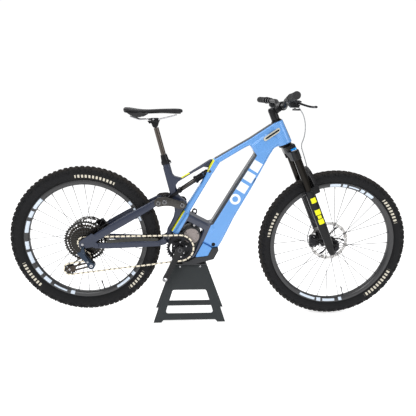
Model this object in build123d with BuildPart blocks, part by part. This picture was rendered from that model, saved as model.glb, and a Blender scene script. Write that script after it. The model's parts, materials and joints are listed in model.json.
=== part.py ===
"""A full-suspension electric mountain bike resting on an A-shaped workshop stand.

+X is forward, +Y is the rider's left and +Z is up; the chain is on the -Y side.
The origin is on the floor, half way along the bike.
"""
from build123d import *
from math import asin, atan2, cos, degrees, pi, radians, sin, sqrt, tan
import os

os.makedirs("parts", exist_ok=True)

# ---------------------------------------------------------------- driving dimensions
WHEELBASE = 1217.0
REAR_TYRE_R = 362.0             # 27.5 x 2.8 inch
FRONT_TYRE_R = 374.0            # 29 x 2.5 inch
REAR_AXLE_Z = 412.0
FRONT_AXLE_Z = 379.0
REAR_X = -(WHEELBASE + FRONT_TYRE_R - REAR_TYRE_R) / 2
FRONT_X = REAR_X + WHEELBASE
RUN = 0.05                      # radial clearance of every running fit
GAP = 0.3                       # clearance between faces that move past each other

REAR_AXLE = (REAR_X, REAR_AXLE_Z)
FRONT_AXLE = (FRONT_X, FRONT_AXLE_Z)
CRANK = (-158.5, 381.5)         # crank axis
MAIN_PIVOT = (-207.0, 425.0)    # swingarm on the frame
HORST = (-555.0, 404.0)         # chainstay to seatstay
STAY_TOP = (-260.0, 604.0)      # seatstay to rocker
ROCKER_PIVOT = (-147.0, 594.0)  # rocker on the frame
YOKE = (-230.5, 609.0)          # shock yoke on the rocker
SHOCK_TOP = (-17.0, 751.0)      # shock eye inside the seat strut
POST_TOP = (-235.7, 827.6)      # centre of the dropper collar's top
POST_DIR = (-0.2541, 0.9672)    # the way the saddle rises

HEAD_ANGLE = 67.0
FORK_OFFSET = 44.0              # front axle ahead of the steering axis
LEG_OFFSET = 18.0               # fork legs ahead of the steering axis
LEG_Y = 65.0
FORK_TRAVEL = 140.0
CHAIN_Y = -55.0
PITCH = 12.7
RING_TEETH = 32
COG_TEETH = 14
GUIDE_TEETH = 12
TENSION_TEETH = 14
GUIDE_PULLEY = (-609.7, 344.8)
TENSION_PULLEY = (-687.3, 281.0)
CAGE_PIVOT = (-576.0, 310.0)

STAND_X = -114.0
STAND_TOP_Z = 284.0
SKID_Z = STAND_TOP_Z + 4.0 + GAP


def side(y):
    """A sketch plane parallel to the bike's side at width y, facing -Y."""
    return Plane.XZ.offset(-y)


def pitch_radius(teeth):
    return PITCH / (2 * sin(pi / teeth))


def save(name, label):
    name.part.label = label
    export_step(name.part, f"parts/{label}.step")


def rod(start, end, radius, end_radius=None, mode=Mode.ADD):
    """A round bar, or a cone, from one point to another."""
    start, end = Vector(*start), Vector(*end)
    line = end - start
    with BuildSketch(Plane(origin=start, z_dir=line)) as base:
        Circle(radius)
    if end_radius is None:
        extrude(base.sketch, amount=line.length, mode=mode)
    else:
        with BuildSketch(Plane(origin=end, z_dir=line)) as tip:
            Circle(end_radius)
        loft([base.sketch, tip.sketch], mode=mode)


def cross_rod(point, y_from, y_to, radius, mode=Mode.ADD):
    """A round bar across the bike at an (x, z) point."""
    rod((point[0], y_from, point[1]), (point[0], y_to, point[1]), radius, mode=mode)


def slab(points, y_from, y_to, mode=Mode.ADD, corner=0):
    """A side-view outline given a width in Y."""
    low, high = min(y_from, y_to), max(y_from, y_to)
    with BuildSketch(side(high)) as outline:
        with BuildLine():
            Polyline(*points, close=True)
        make_face()
        if corner:
            fillet(outline.vertices(), corner)
    extrude(outline.sketch, amount=high - low, mode=mode)


def hull_slab(circles, y_from, y_to, mode=Mode.ADD):
    """The side-view hull of (x, z, radius) circles, given a width in Y."""
    low, high = min(y_from, y_to), max(y_from, y_to)
    with BuildSketch(side(high)) as hull:
        for x, z, r in circles:
            with Locations((x, z)):
                Circle(r)
        make_hull()
    extrude(hull.sketch, amount=high - low, mode=mode)


def plan_cut(points, z_from, z_to):
    """Keep only what lies inside a top-view outline."""
    with BuildSketch(Plane.XY.offset(z_from)) as plan:
        with BuildLine():
            Polyline(*points, close=True)
        make_face()
    extrude(plan.sketch, amount=z_to - z_from, mode=Mode.INTERSECT)


def spun(points, centre, mode=Mode.ADD):
    """A profile of (radius, y) points turned about a wheel's axle."""
    x, z = centre
    with BuildSketch(Plane(origin=(x, 0, z), x_dir=(0, 0, 1), z_dir=(-1, 0, 0))) as profile:
        with BuildLine():
            Polyline(*points, close=True)
        make_face()
    revolve(profile.sketch, axis=Axis((x, 0, z), (0, 1, 0)), mode=mode)


# ---------------------------------------------------------------- steering geometry
UP = (-cos(radians(HEAD_ANGLE)), sin(radians(HEAD_ANGLE)))
AHEAD = (sin(radians(HEAD_ANGLE)), cos(radians(HEAD_ANGLE)))
FOOT = (FRONT_X - FORK_OFFSET * AHEAD[0], FRONT_AXLE_Z - FORK_OFFSET * AHEAD[1])
STEER_DIR = Vector(UP[0], 0, UP[1])
AHEAD_DIR = Vector(AHEAD[0], 0, AHEAD[1])


def steer(ahead, y, up):
    """A point given ahead of the steering axis, across, and up along it."""
    return Vector(FOOT[0], y, FOOT[1]) + AHEAD_DIR * ahead + STEER_DIR * up


def front_plane(ahead):
    """A sketch plane square to the fork: across is +Y, up is the steering axis."""
    return Plane(origin=steer(ahead, 0, 0), x_dir=(0, 1, 0), z_dir=AHEAD_DIR)


def steer_plane(up):
    return Plane(origin=steer(0, 0, up), x_dir=AHEAD_DIR, z_dir=STEER_DIR)


# ================================================================ stand
PANEL_T = 4.0
FOOT_Y, TOP_Y = 77.0, 16.0
TOP_HALF, FOOT_HALF = 84.0, 178.0
PLATE_T = 4.0
panel_top = STAND_TOP_Z - PLATE_T


def stand_panel(sign):
    """One leaning sheet of the stand, sign -1 on the chain side."""
    rise = Vector(0, -sign * (FOOT_Y - TOP_Y), panel_top)
    across = (0, -panel_top, -sign * (FOOT_Y - TOP_Y))
    flat = Plane(origin=(STAND_X, sign * FOOT_Y, 0), x_dir=(1, 0, 0), z_dir=across)
    height = rise.length
    slope = (FOOT_HALF - TOP_HALF) / height
    below = 6.0
    with BuildSketch(flat) as sheet:
        with BuildLine():
            Polyline(
                (-FOOT_HALF - below * slope, -below), (-FOOT_HALF + 41, -below),
                (-FOOT_HALF + 41, 4), (-FOOT_HALF + 50, 13), (FOOT_HALF - 50, 13),
                (FOOT_HALF - 41, 4), (FOOT_HALF - 41, -below),
                (FOOT_HALF + below * slope, -below),
                (TOP_HALF - below * slope, height + below),
                (-TOP_HALF + below * slope, height + below), close=True,
            )
        make_face()
    with BuildSketch(flat) as opening:
        with BuildLine():
            Polyline((-119.5, 46), (119.5, 46), (82.5, 161), (-82.5, 161), close=True)
        make_face()
        fillet(opening.vertices(), 10)
    extrude(sheet.sketch, amount=sign * PANEL_T)
    extrude(opening.sketch, amount=sign * PANEL_T, mode=Mode.SUBTRACT)


with BuildPart() as stand_side_panels:
    for sign in (-1, 1):
        stand_panel(sign)
    split(bisect_by=Plane.XY, keep=Keep.TOP)
    split(bisect_by=Plane.XY.offset(panel_top), keep=Keep.BOTTOM)
save(stand_side_panels, "stand_side_panels")

with BuildPart() as stand_top_plate:
    with BuildSketch(Plane.XY.offset(panel_top)):
        with Locations((STAND_X, 0)):
            RectangleRounded(2 * TOP_HALF, 2 * (TOP_Y + PANEL_T + 2), 4)
    extrude(amount=PLATE_T)
    with BuildSketch(Plane.XY.offset(panel_top)):
        with Locations((STAND_X, 0)):
            Rectangle(2 * TOP_HALF - 30, 2 * (TOP_Y - 3))
            Rectangle(2 * TOP_HALF - 38, 2 * (TOP_Y - 7), mode=Mode.SUBTRACT)
    extrude(amount=-14)
    add(stand_side_panels.part, mode=Mode.SUBTRACT)
save(stand_top_plate, "stand_top_plate")

with BuildPart() as stand_pad:
    with BuildSketch(Plane.XY.offset(STAND_TOP_Z)):
        with Locations((STAND_X, 0)):
            RectangleRounded(2 * TOP_HALF - 12, 34, 5)
    extrude(amount=SKID_Z - GAP - STAND_TOP_Z)
    fillet(stand_pad.faces().sort_by(Axis.Z)[-1].edges(), 1.5)
save(stand_pad, "stand_pad")

# ================================================================ main frame
TOP_TUBE_HALF = 23.0
DOWN_TUBE_HALF = 39.0
STRUT_HALF = 28.0
MOTOR_HALF = 42.0
HEAD_BOTTOM, HEAD_TOP = 564.0, 678.0
CUP_R = 24.0

top_tube = [
    (-2.5, 806), (8.5, 814), (171.5, 910), (278.5, 981), (322, 997), (345, 940),
    (200, 840), (172.5, 875), (145, 861), (30.5, 792), (14, 766), (-32.5, 752),
]
seat_strut = [
    (-2.5, 806), (-57.5, 695), (-126.5, 584), (-202.5, 455), (-182.5, 436),
    (-167, 449), (-116.5, 543), (-25.5, 700), (30.5, 792),
]
down_tube = [
    (-48, 400), (-22, 495), (-8, 500), (115.5, 705), (195.5, 834), (186.5, 856),
    (172.5, 875), (250, 935), (352, 905), (362, 888), (315.5, 876), (288.5, 862),
    (267.5, 829), (244.5, 784), (181.5, 664.5), (104.5, 529), (45.5, 405),
    (27, 373), (-2, 373),
]
motor_mount = [
    (-128, 549), (-111.5, 543), (-21.5, 495), (-8, 500), (10, 470), (-48, 400),
    (-88, 325), (-112, 318), (-100, 345), (-92, 353), (-46, 466), (-124, 508),
    (-165, 440), (-190, 448),
]
battery_axis = Vector(0.520, 0, 0.854)
battery_start = Vector(27.9, 0, 478.0) + battery_axis * -50
battery_plane = Plane(origin=battery_start, x_dir=(0, 1, 0), z_dir=battery_axis)
BATTERY = (62.0, 56.0, 345.0)

with BuildPart() as main_frame:
    slab(top_tube, -TOP_TUBE_HALF, TOP_TUBE_HALF)
    slab(seat_strut, -STRUT_HALF, STRUT_HALF)
    slab(down_tube, -DOWN_TUBE_HALF, DOWN_TUBE_HALF)
    slab(motor_mount, -MOTOR_HALF, MOTOR_HALF)
    # the down tube narrows towards the head tube
    for sign in (-1, 1):
        with BuildSketch(steer_plane(330)):
            with BuildLine():
                Polyline((-320, sign * 39.1), (-150, sign * 39.1), (0, sign * 30), (60, sign * 30),
                         (60, sign * 60), (-320, sign * 60), close=True)
            make_face()
        extrude(amount=400, mode=Mode.SUBTRACT)
    rod(steer(0, 0, HEAD_BOTTOM), steer(0, 0, HEAD_TOP), 36, 29.5)
    rod(steer(0, 0, HEAD_BOTTOM - 20), steer(0, 0, HEAD_TOP + 40), CUP_R, mode=Mode.SUBTRACT)
    # above and below the head tube nothing stands in the way of the cups
    for low, high in ((HEAD_TOP, HEAD_TOP + 40), (HEAD_BOTTOM - 60, HEAD_BOTTOM)):
        rod(steer(0, 0, low), steer(0, 0, high), 60, mode=Mode.SUBTRACT)
    # battery bay, open at the tube's lower end
    with BuildSketch(battery_plane.offset(-80)):
        Rectangle(BATTERY[0] + 1, BATTERY[1] + 1)
    extrude(amount=BATTERY[2] + 81, mode=Mode.SUBTRACT)
    # pocket for the shock's front eye
    slab([(-2, 768), (-2, 736), (-60, 680), (-120, 640), (-120, 700), (-60, 745), (-30, 768)],
         -21, 21, mode=Mode.SUBTRACT)
    cross_rod(SHOCK_TOP, -STRUT_HALF, STRUT_HALF, 5, mode=Mode.SUBTRACT)
save(main_frame, "main_frame")

# ---------------------------------------------------------------- rear half of the frame
MAST_HALF = 18.0
mast_outline = [
    (-238, 765), (-210, 653), (-196, 600), (-186.5, 575), (-185.5, 552), (-190.5, 525),
    (-205, 494), (-222, 464), (-226, 440), (-207, 425), (-190, 443), (-202.5, 455),
    (-126.5, 584), (-125, 597), (-150, 618), (-168, 636), (-176, 651), (-178, 682), (-168, 697),
    (-96.7, 741), (-45.4, 770), (-24, 766), (-2.5, 806), (-16.5, 805.3), (-144.5, 723.7),
    (-158.5, 717.5), (-185, 725), (-202, 747), (-205, 774),
]
LUG_R = 18.0
BOSS_R = 14.0
BOSS_HALF = 49.0
MAST_BORE = 15.2


def along_post(distance, y=0.0):
    """A point on the seat post's axis, measured up from the collar's top."""
    return (POST_TOP[0] + POST_DIR[0] * distance, y, POST_TOP[1] + POST_DIR[1] * distance)


with BuildPart() as seat_mast:
    slab(mast_outline, -MAST_HALF, MAST_HALF)
    # the brace to the top tube is slimmer than the mast
    for sign in (-1, 1):
        slab([(-150, 690), (-150, 760), (0, 850), (10, 790), (-30, 750)],
             sign * 12, sign * 30, mode=Mode.SUBTRACT)
    rod(along_post(-215), along_post(-30), MAST_HALF)
    hull_slab([(MAIN_PIVOT[0], MAIN_PIVOT[1], LUG_R)], -20, 20)
    cross_rod(ROCKER_PIVOT, -BOSS_HALF, BOSS_HALF, BOSS_R)
    rod(along_post(-217), along_post(0), MAST_BORE, mode=Mode.SUBTRACT)
    cross_rod(MAIN_PIVOT, -30, 30, 8, mode=Mode.SUBTRACT)
    cross_rod(ROCKER_PIVOT, -60, 60, 8, mode=Mode.SUBTRACT)
    add(main_frame.part, mode=Mode.SUBTRACT)
save(seat_mast, "seat_mast")

with BuildPart() as seat_clamp:
    rod(along_post(-46), along_post(-30), 21.5)
    slab([(-213, 784), (-199, 788), (-203, 801), (-217, 798)], -9, 9)
    rod(along_post(-60), along_post(0), MAST_HALF, mode=Mode.SUBTRACT)
save(seat_clamp, "seat_clamp")

with BuildPart() as dropper_outer:
    rod(along_post(-210), along_post(0), MAST_BORE)
    rod(along_post(-29.5), along_post(0), MAST_HALF + 0.5, 15.6)
    rod(along_post(-205), along_post(1), 12 + RUN, mode=Mode.SUBTRACT)
save(dropper_outer, "dropper_outer")

with BuildPart() as frame_pivot_bolts:
    cross_rod(ROCKER_PIVOT, -58, 58, 8)
    cross_rod(MAIN_PIVOT, -35, 35, 8)
    for sign in (-1, 1):
        cross_rod(ROCKER_PIVOT, sign * 57.3, sign * 61, 12)
        cross_rod(MAIN_PIVOT, sign * (33 + GAP), sign * 37, 11)
    cross_rod(SHOCK_TOP, -STRUT_HALF - 2, STRUT_HALF + 2, 5)
save(frame_pivot_bolts, "frame_pivot_bolts")

with BuildPart() as headset_cups:
    for low, high in ((HEAD_TOP - 14, HEAD_TOP), (HEAD_BOTTOM, HEAD_BOTTOM + 14)):
        rod(steer(0, 0, low), steer(0, 0, high), CUP_R)
    rod(steer(0, 0, HEAD_TOP), steer(0, 0, HEAD_TOP + 9), 27, 20)
    rod(steer(0, 0, HEAD_BOTTOM - 9), steer(0, 0, HEAD_BOTTOM), 29, 32)
    rod(steer(0, 0, HEAD_BOTTOM - 40), steer(0, 0, HEAD_TOP + 40), 14.3 + RUN, mode=Mode.SUBTRACT)
save(headset_cups, "headset_cups")

# ---------------------------------------------------------------- drive unit and battery
SPINDLE_R = 12.0
MOTOR_CENTRE = (-103.5, 437.0)
with BuildPart() as drive_unit:
    hull_slab([(CRANK[0], CRANK[1], 43), (MOTOR_CENTRE[0], MOTOR_CENTRE[1], 46), (-118, 352, 40)], -38, 38)
    cross_rod(CRANK, -48, 48, 24)
    slab([(-112, 318), (-100, 345), (-92, 353), (-46, 466), (0, 480), (0, 290), (-112, 290)],
         -60, 60, mode=Mode.SUBTRACT)
    add(main_frame.part, mode=Mode.SUBTRACT)
    add(seat_mast.part, mode=Mode.SUBTRACT)
    cross_rod(CRANK, -60, 60, SPINDLE_R + RUN, mode=Mode.SUBTRACT)
save(drive_unit, "drive_unit")

with BuildPart() as drive_unit_cover:
    cross_rod(MOTOR_CENTRE, -38, -46, 42)
    fillet(drive_unit_cover.edges().sort_by(Axis.Y)[0], 6)
    add(main_frame.part, mode=Mode.SUBTRACT)
save(drive_unit_cover, "drive_unit_cover")

with BuildPart() as battery_pack:
    with BuildSketch(battery_plane):
        Rectangle(BATTERY[0], BATTERY[1])
    extrude(amount=BATTERY[2])
    fillet(battery_pack.edges().filter_by(lambda e: e.length > 300), 8)
save(battery_pack, "battery_pack")

with BuildPart() as battery_cover:
    slab([(-48.5, 399), (-3, 372.5), (-24, 332), (-87, 324.5)], -37, 37)
save(battery_cover, "battery_cover")

with BuildPart() as skid_plate:
    slab([
        (-150, 297), (-140, SKID_Z), (-94, SKID_Z), (5, 315), (29, 360), (27, 372.5),
        (-1.5, 372.5), (-23, 331), (-87, 323.5), (-118, 305), (-140, 303), (-150, 303),
    ], -38, 38)
save(skid_plate, "skid_plate")

# ================================================================ saddle and post
with BuildPart() as dropper_inner:
    rod(along_post(-62), along_post(142), 12)
    hull_slab([(-272, 966, 14), (-282, 985, 12), (-262, 984, 10)], -14, 14)
    slab([(-306, 980), (-250, 984), (-250, 990), (-306, 987)], -28, 28)
save(dropper_inner, "dropper_inner")

RAIL_R = 3.5
RAIL_Y = 22.0
with BuildPart() as saddle_rails:
    for sign in (-1, 1):
        with BuildLine() as rail:
            FilletPolyline(
                (-384, sign * 34, 1006), (-345, sign * RAIL_Y, 991.5), (-250, sign * RAIL_Y, 994),
                (-205, sign * 14, 1004), (-172, sign * 10, 1013), radius=14,
            )
        with BuildSketch(Plane(origin=rail.line @ 0, z_dir=rail.line % 0)):
            Circle(RAIL_R)
        sweep(path=rail.line)
    add(dropper_inner.part, mode=Mode.SUBTRACT)
save(saddle_rails, "saddle_rails")

SADDLE_PLAN = [
    (-413, -40), (-400, -66), (-360, -72), (-318, -58), (-270, -34), (-220, -23), (-165, -20),
    (-147, -14), (-143, 0), (-147, 14), (-165, 20), (-220, 23), (-270, 34), (-318, 58),
    (-360, 72), (-400, 66), (-413, 40),
]
with BuildPart() as saddle_pad:
    slab([(-413, 1026), (-411, 1048), (-331, 1037), (-234, 1042), (-160, 1040), (-144, 1030),
          (-146, 1024), (-178, 1024), (-234, 1026), (-331, 1021)], -75, 75)
    plan_cut(SADDLE_PLAN, 990, 1060)
save(saddle_pad, "saddle_pad")

with BuildPart() as saddle_shell:
    slab([(-410, 1020), (-331, 1015), (-234, 1020), (-178, 1018), (-148, 1019), (-148, 1023.9),
          (-178, 1023.9), (-234, 1025.9), (-331, 1020.9), (-410, 1025.9)], -66, 66)
    plan_cut([(x * 0.985 - 4.5, y * 0.92) for x, y in SADDLE_PLAN], 990, 1060)
    for sign in (-1, 1):
        slab([(-388, 1023), (-348, 1001), (-306, 1018)], sign * 57, sign * 61)
    add(saddle_pad.part, mode=Mode.SUBTRACT)
    add(saddle_rails.part, mode=Mode.SUBTRACT)
save(saddle_shell, "saddle_shell")

# ================================================================ fork
STANCHION_R = 18.0
CROWN_TOP = HEAD_BOTTOM - 9 - 1.0
with BuildPart() as fork_crown:
    with BuildSketch(front_plane(-20)) as arch:
        with BuildLine():
            Polyline(
                (-86, 484), (-46, 484), (-44, 500), (-26, 521), (26, 521), (44, 500), (46, 484),
                (86, 484), (86, 522), (78, 530), (48, 530), (36, CROWN_TOP), (-36, CROWN_TOP),
                (-48, 530), (-78, 530), (-86, 522), close=True,
            )
        make_face()
    extrude(amount=58)
    # round the crown in plan around the legs and the steerer
    with BuildSketch(steer_plane(470)):
        for y in (-LEG_Y, 0, LEG_Y):
            with Locations((LEG_OFFSET if y else 4, y)):
                Circle(22 if y else 29)
        make_hull()
    extrude(amount=120, mode=Mode.INTERSECT)
    rod(steer(0, 0, 530), steer(0, 0, 742), 14.3)
    for y in (-LEG_Y, LEG_Y):
        rod(steer(LEG_OFFSET, y, 470), steer(LEG_OFFSET, y, 524), STANCHION_R, mode=Mode.SUBTRACT)
    rod(steer(LEG_OFFSET, -LEG_Y, 520), steer(LEG_OFFSET, -LEG_Y, 540), 6, mode=Mode.SUBTRACT)
    rod(steer(LEG_OFFSET, LEG_Y, 529), steer(LEG_OFFSET, LEG_Y, 538), 13, 11)
save(fork_crown, "fork_crown")

with BuildPart() as fork_stanchions:
    for y in (-LEG_Y, LEG_Y):
        rod(steer(LEG_OFFSET, y, 180), steer(LEG_OFFSET, y, 524), STANCHION_R)
        rod(steer(LEG_OFFSET, y, 182), steer(LEG_OFFSET, y, 514), STANCHION_R - 2.5, mode=Mode.SUBTRACT)
save(fork_stanchions, "fork_stanchions")

with BuildPart() as compression_knob:
    rod(steer(LEG_OFFSET, -LEG_Y, 530 + GAP), steer(LEG_OFFSET, -LEG_Y, 541), 15, 12)
    rod(steer(LEG_OFFSET, -LEG_Y, 525), steer(LEG_OFFSET, -LEG_Y, 532), 6 - RUN)
save(compression_knob, "compression_knob")

LOWER_TOP = 324.0
with BuildPart() as fork_lowers:
    for y in (-LEG_Y, LEG_Y):
        rod(steer(LEG_OFFSET, y, 120), steer(LEG_OFFSET, y, LOWER_TOP), 22.5)
        rod(steer(LEG_OFFSET, y, 10), steer(LEG_OFFSET, y, 120), 20, 22.5)
        rod(steer(LEG_OFFSET, y, -28), steer(LEG_OFFSET, y, 10), 15, 20)
        # lug that holds the axle ahead of the leg
        sign = -1 if y < 0 else 1
        axle, leg = steer(FORK_OFFSET, 0, 0), steer(LEG_OFFSET, 0, 0)
        hull_slab([(axle.X, axle.Z, 16), (leg.X, leg.Z, 18)], sign * 55.3, sign * 74)
        # foot of the arch
        with BuildSketch(steer_plane(296)):
            with Locations((41, y)):
                RectangleRounded(46, 42, 8)
        extrude(amount=42)
    with BuildSketch(front_plane(42.5)):
        with BuildLine():
            Polyline((-86, 300), (-84, 345), (-52, 404), (-22, 420), (22, 420), (52, 404),
                     (84, 345), (86, 300), close=True)
        make_face()
        with BuildLine():
            Polyline((-46, 290), (-45, 340), (-34, 374), (-16, 386), (16, 386), (34, 374),
                     (45, 340), (46, 290), close=True)
        make_face(mode=Mode.SUBTRACT)
    extrude(amount=22)
    # mount for the brake caliper behind the left leg
    slab([(505, 350), (560, 345), (570, 400), (515, 410)], 51, 60)
    for y in (-LEG_Y, LEG_Y):
        rod(steer(LEG_OFFSET, y, 30), steer(LEG_OFFSET, y, 500), STANCHION_R + RUN, mode=Mode.SUBTRACT)
    cross_rod(FRONT_AXLE, -90, 90, 7.5, mode=Mode.SUBTRACT)
    cross_rod(FRONT_AXLE, -55.3, 55.3, 16, mode=Mode.SUBTRACT)
    for sign in (-1, 1):
        cross_rod(FRONT_AXLE, sign * 74, sign * 95, 11.3, mode=Mode.SUBTRACT)
save(fork_lowers, "fork_lowers")

with BuildPart() as front_axle:
    cross_rod(FRONT_AXLE, -76, 76, 7.5)
    cross_rod(FRONT_AXLE, -78, -74, 11)
save(front_axle, "front_axle")

# ---------------------------------------------------------------- stem, bar and controls
BAR_R, CLAMP_R = 11.1, 15.9
BAR_MID = steer(50, 0, 735)
BAR_RISE_Y, BAR_END_Y = 110.0, 390.0
BAR_RISE = (BAR_MID.X - 7, BAR_MID.Z + 24)
BAR_END = (283.0, 1094.5)


def bar_point(y):
    """The bar's centre line at |y| beyond the rise."""
    part = (abs(y) - BAR_RISE_Y) / (BAR_END_Y - BAR_RISE_Y)
    x = BAR_RISE[0] + part * (BAR_END[0] - BAR_RISE[0])
    z = BAR_RISE[1] + part * (BAR_END[1] - BAR_RISE[1])
    return (x, y, z)


with BuildPart() as stem:
    rod(steer(0, 0, HEAD_TOP + 10), steer(0, 0, 742), 20)
    with BuildSketch(Plane(origin=steer(0, 0, 722), x_dir=(0, 1, 0), z_dir=BAR_MID - steer(0, 0, 722))):
        RectangleRounded(36, 30, 8)
    extrude(amount=50)
    rod((BAR_MID.X, -26, BAR_MID.Z), (BAR_MID.X, 26, BAR_MID.Z), 21)
    rod(steer(0, 0, 742), steer(0, 0, 746), 17)
    rod(steer(0, 0, 600), steer(0, 0, 742), 14.3, mode=Mode.SUBTRACT)
    rod((BAR_MID.X, -40, BAR_MID.Z), (BAR_MID.X, 40, BAR_MID.Z), CLAMP_R, mode=Mode.SUBTRACT)
save(stem, "stem")

with BuildPart() as handlebar:
    with BuildLine() as bend:
        FilletPolyline(
            bar_point(-BAR_END_Y), bar_point(-BAR_RISE_Y), (BAR_MID.X, -62, BAR_MID.Z),
            (BAR_MID.X, 62, BAR_MID.Z), bar_point(BAR_RISE_Y), bar_point(BAR_END_Y), radius=40,
        )
    with BuildSketch(Plane(origin=bend.line @ 0, z_dir=bend.line % 0)):
        Circle(BAR_R)
        Circle(BAR_R - 2, mode=Mode.SUBTRACT)
    sweep(path=bend.line)
    rod((BAR_MID.X, -40, BAR_MID.Z), (BAR_MID.X, 40, BAR_MID.Z), CLAMP_R)
    rod((BAR_MID.X, -40, BAR_MID.Z), (BAR_MID.X, 40, BAR_MID.Z), BAR_R - 2, mode=Mode.SUBTRACT)
save(handlebar, "handlebar")

GRIP_IN = 262.0
with BuildPart() as grips:
    for sign in (-1, 1):
        inner, outer = Vector(*bar_point(sign * GRIP_IN)), Vector(*bar_point(sign * BAR_END_Y))
        along = (outer - inner).normalized()
        rod(inner, outer, 16)
        rod(inner - along * 8, inner, 18)
        rod(inner - along * 20, outer + along * 20, BAR_R, mode=Mode.SUBTRACT)
        rod(outer, outer + along * 1.5, 15)
save(grips, "grips")

LEVER_Y = 228.0
LEVER_PIVOT = (338.0, 1068.0)
LEVER_NORMAL = Vector(0.388, 0, 0.922)     # the blade's hinge axis
with BuildPart() as brake_lever_bodies:
    for sign in (-1, 1):
        inner = Vector(*bar_point(sign * 222))
        outer = Vector(*bar_point(sign * 238))
        rod(inner, outer, 16.5)
        knuckle = Vector(LEVER_PIVOT[0], sign * LEVER_Y, LEVER_PIVOT[1])
        rod(Vector(*bar_point(sign * 230)), knuckle, 8)
        rod(knuckle - LEVER_NORMAL * 11, knuckle + LEVER_NORMAL * 11, 8)
        rod(knuckle, (327, sign * 150, 1067), 9, 7.5)
        rod(Vector(*bar_point(sign * 205)), Vector(*bar_point(sign * 255)), BAR_R, mode=Mode.SUBTRACT)
        rod(knuckle - LEVER_NORMAL * 20, knuckle + LEVER_NORMAL * 20, 3 + RUN, mode=Mode.SUBTRACT)
        flat = Plane(origin=knuckle - LEVER_NORMAL * 5, x_dir=(0, 1, 0), z_dir=LEVER_NORMAL)
        with BuildSketch(flat):
            with Locations((sign * 8, 0)):
                Rectangle(34, 60)
        extrude(amount=10, mode=Mode.SUBTRACT)
save(brake_lever_bodies, "brake_lever_bodies")


def blade(sign):
    """A brake lever's blade, hinged on its knuckle."""
    knuckle = Vector(LEVER_PIVOT[0], sign * LEVER_Y, LEVER_PIVOT[1])
    forward = Vector(0.922, 0, -0.388)
    flat = Plane(origin=knuckle - LEVER_NORMAL * (5 - GAP), x_dir=(0, 1, 0), z_dir=LEVER_NORMAL)
    y_sign = 1 if flat.y_dir.dot(forward) > 0 else -1
    spine = [(0, 0, 7), (sign * 14, 16, 6), (sign * 40, 34, 5.5), (sign * 80, 40, 5), (sign * 118, 38, 6)]
    for (x1, y1, r1), (x2, y2, r2) in zip(spine, spine[1:]):
        with BuildSketch(flat) as limb:
            for x, y, r in ((x1, y1, r1), (x2, y2, r2)):
                with Locations((x, y_sign * y)):
                    Circle(r)
            make_hull()
        extrude(limb.sketch, amount=10 - 2 * GAP)
    rod(knuckle - LEVER_NORMAL * 11, knuckle + LEVER_NORMAL * 11, 3)


for sign, label in ((-1, "brake_blade_right"), (1, "brake_blade_left")):
    with BuildPart() as brake_blade:
        blade(sign)
    save(brake_blade, label)

POD_Y = 196.0
PADDLE_PIVOT = (330.0, 1042.0)
with BuildPart() as control_pods:
    for sign in (-1, 1):
        inner, outer = Vector(*bar_point(sign * 186)), Vector(*bar_point(sign * 206))
        rod(inner, outer, 15)
        slab([(300, 1074), (322, 1078), (346, 1058), (346, 1049), (312, 1049), (300, 1060)],
             sign * 184, sign * 214)
        rod(inner - (outer - inner), outer + (outer - inner), BAR_R, mode=Mode.SUBTRACT)
    add(brake_lever_bodies.part, mode=Mode.SUBTRACT)
save(control_pods, "control_pods")

for sign, label in ((-1, "shift_paddle"), (1, "dropper_paddle")):
    with BuildPart() as paddle:
        with BuildSketch(Plane.XY.offset(PADDLE_PIVOT[1] - 4)):
            for x, y, r in ((PADDLE_PIVOT[0], POD_Y, 11), (PADDLE_PIVOT[0] + 4, POD_Y + 44, 8)):
                with Locations((x, sign * y)):
                    Circle(r)
            make_hull()
        extrude(amount=8)
        rod((PADDLE_PIVOT[0], sign * POD_Y, PADDLE_PIVOT[1]), (PADDLE_PIVOT[0], sign * POD_Y, 1048.5), 5)
    save(paddle, label)


# ================================================================ wheels
def tyre(centre, radius, bead_r, width):
    """A tyre: a hollow round section that stands in the rim's channel."""
    x, z = centre
    half_h = (radius - bead_r) / 2
    middle = (radius + bead_r) / 2
    section = Plane(origin=(x, 0, z), x_dir=(0, 0, 1), z_dir=(-1, 0, 0))
    wall = 3.2
    with BuildSketch(section) as profile:
        with Locations((middle, 0)):
            Ellipse(half_h, width / 2)
            Ellipse(half_h - 2 * wall, width / 2 - wall, mode=Mode.SUBTRACT)
        with Locations((bead_r - 6, 0)):
            Rectangle(18, width, mode=Mode.SUBTRACT)
        for sign in (-1, 1):
            with Locations((bead_r, sign * 12.8)):
                Rectangle(14, 4)
    revolve(profile.sketch, axis=Axis((x, 0, z), (0, 1, 0)))


def rim(centre, bead_r, depth):
    """A box-section rim with a channel for the tyre's beads."""
    low, seat, top = bead_r - depth, bead_r - 8, bead_r + 3
    spun([
        (low, -5), (low, 5), (low + 9, 17.5), (top, 18.5), (top, 15.1), (seat, 15.1),
        (seat, -15.1), (top, -15.1), (top, -18.5), (low + 9, -17.5),
    ], centre)


def spokes(centre, rim_r, flange_r, flange_y, count=32, lean=52.0):
    """Crossed spokes between two hub flanges and the rim."""
    x, z = centre
    for i in range(count):
        turn = 2 * pi * i / count
        flank = -1 if i % 2 else 1
        lead = 1 if (i // 2) % 2 else -1
        hub_turn = turn + lead * radians(lean)
        near = flange_y[0] if flank < 0 else flange_y[1]
        start = (x + flange_r * cos(hub_turn), near + lead * 1.6, z + flange_r * sin(hub_turn))
        end = (x + rim_r * cos(turn), flank * 3.0, z + rim_r * sin(turn))
        rod(start, end, 0.95)


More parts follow.
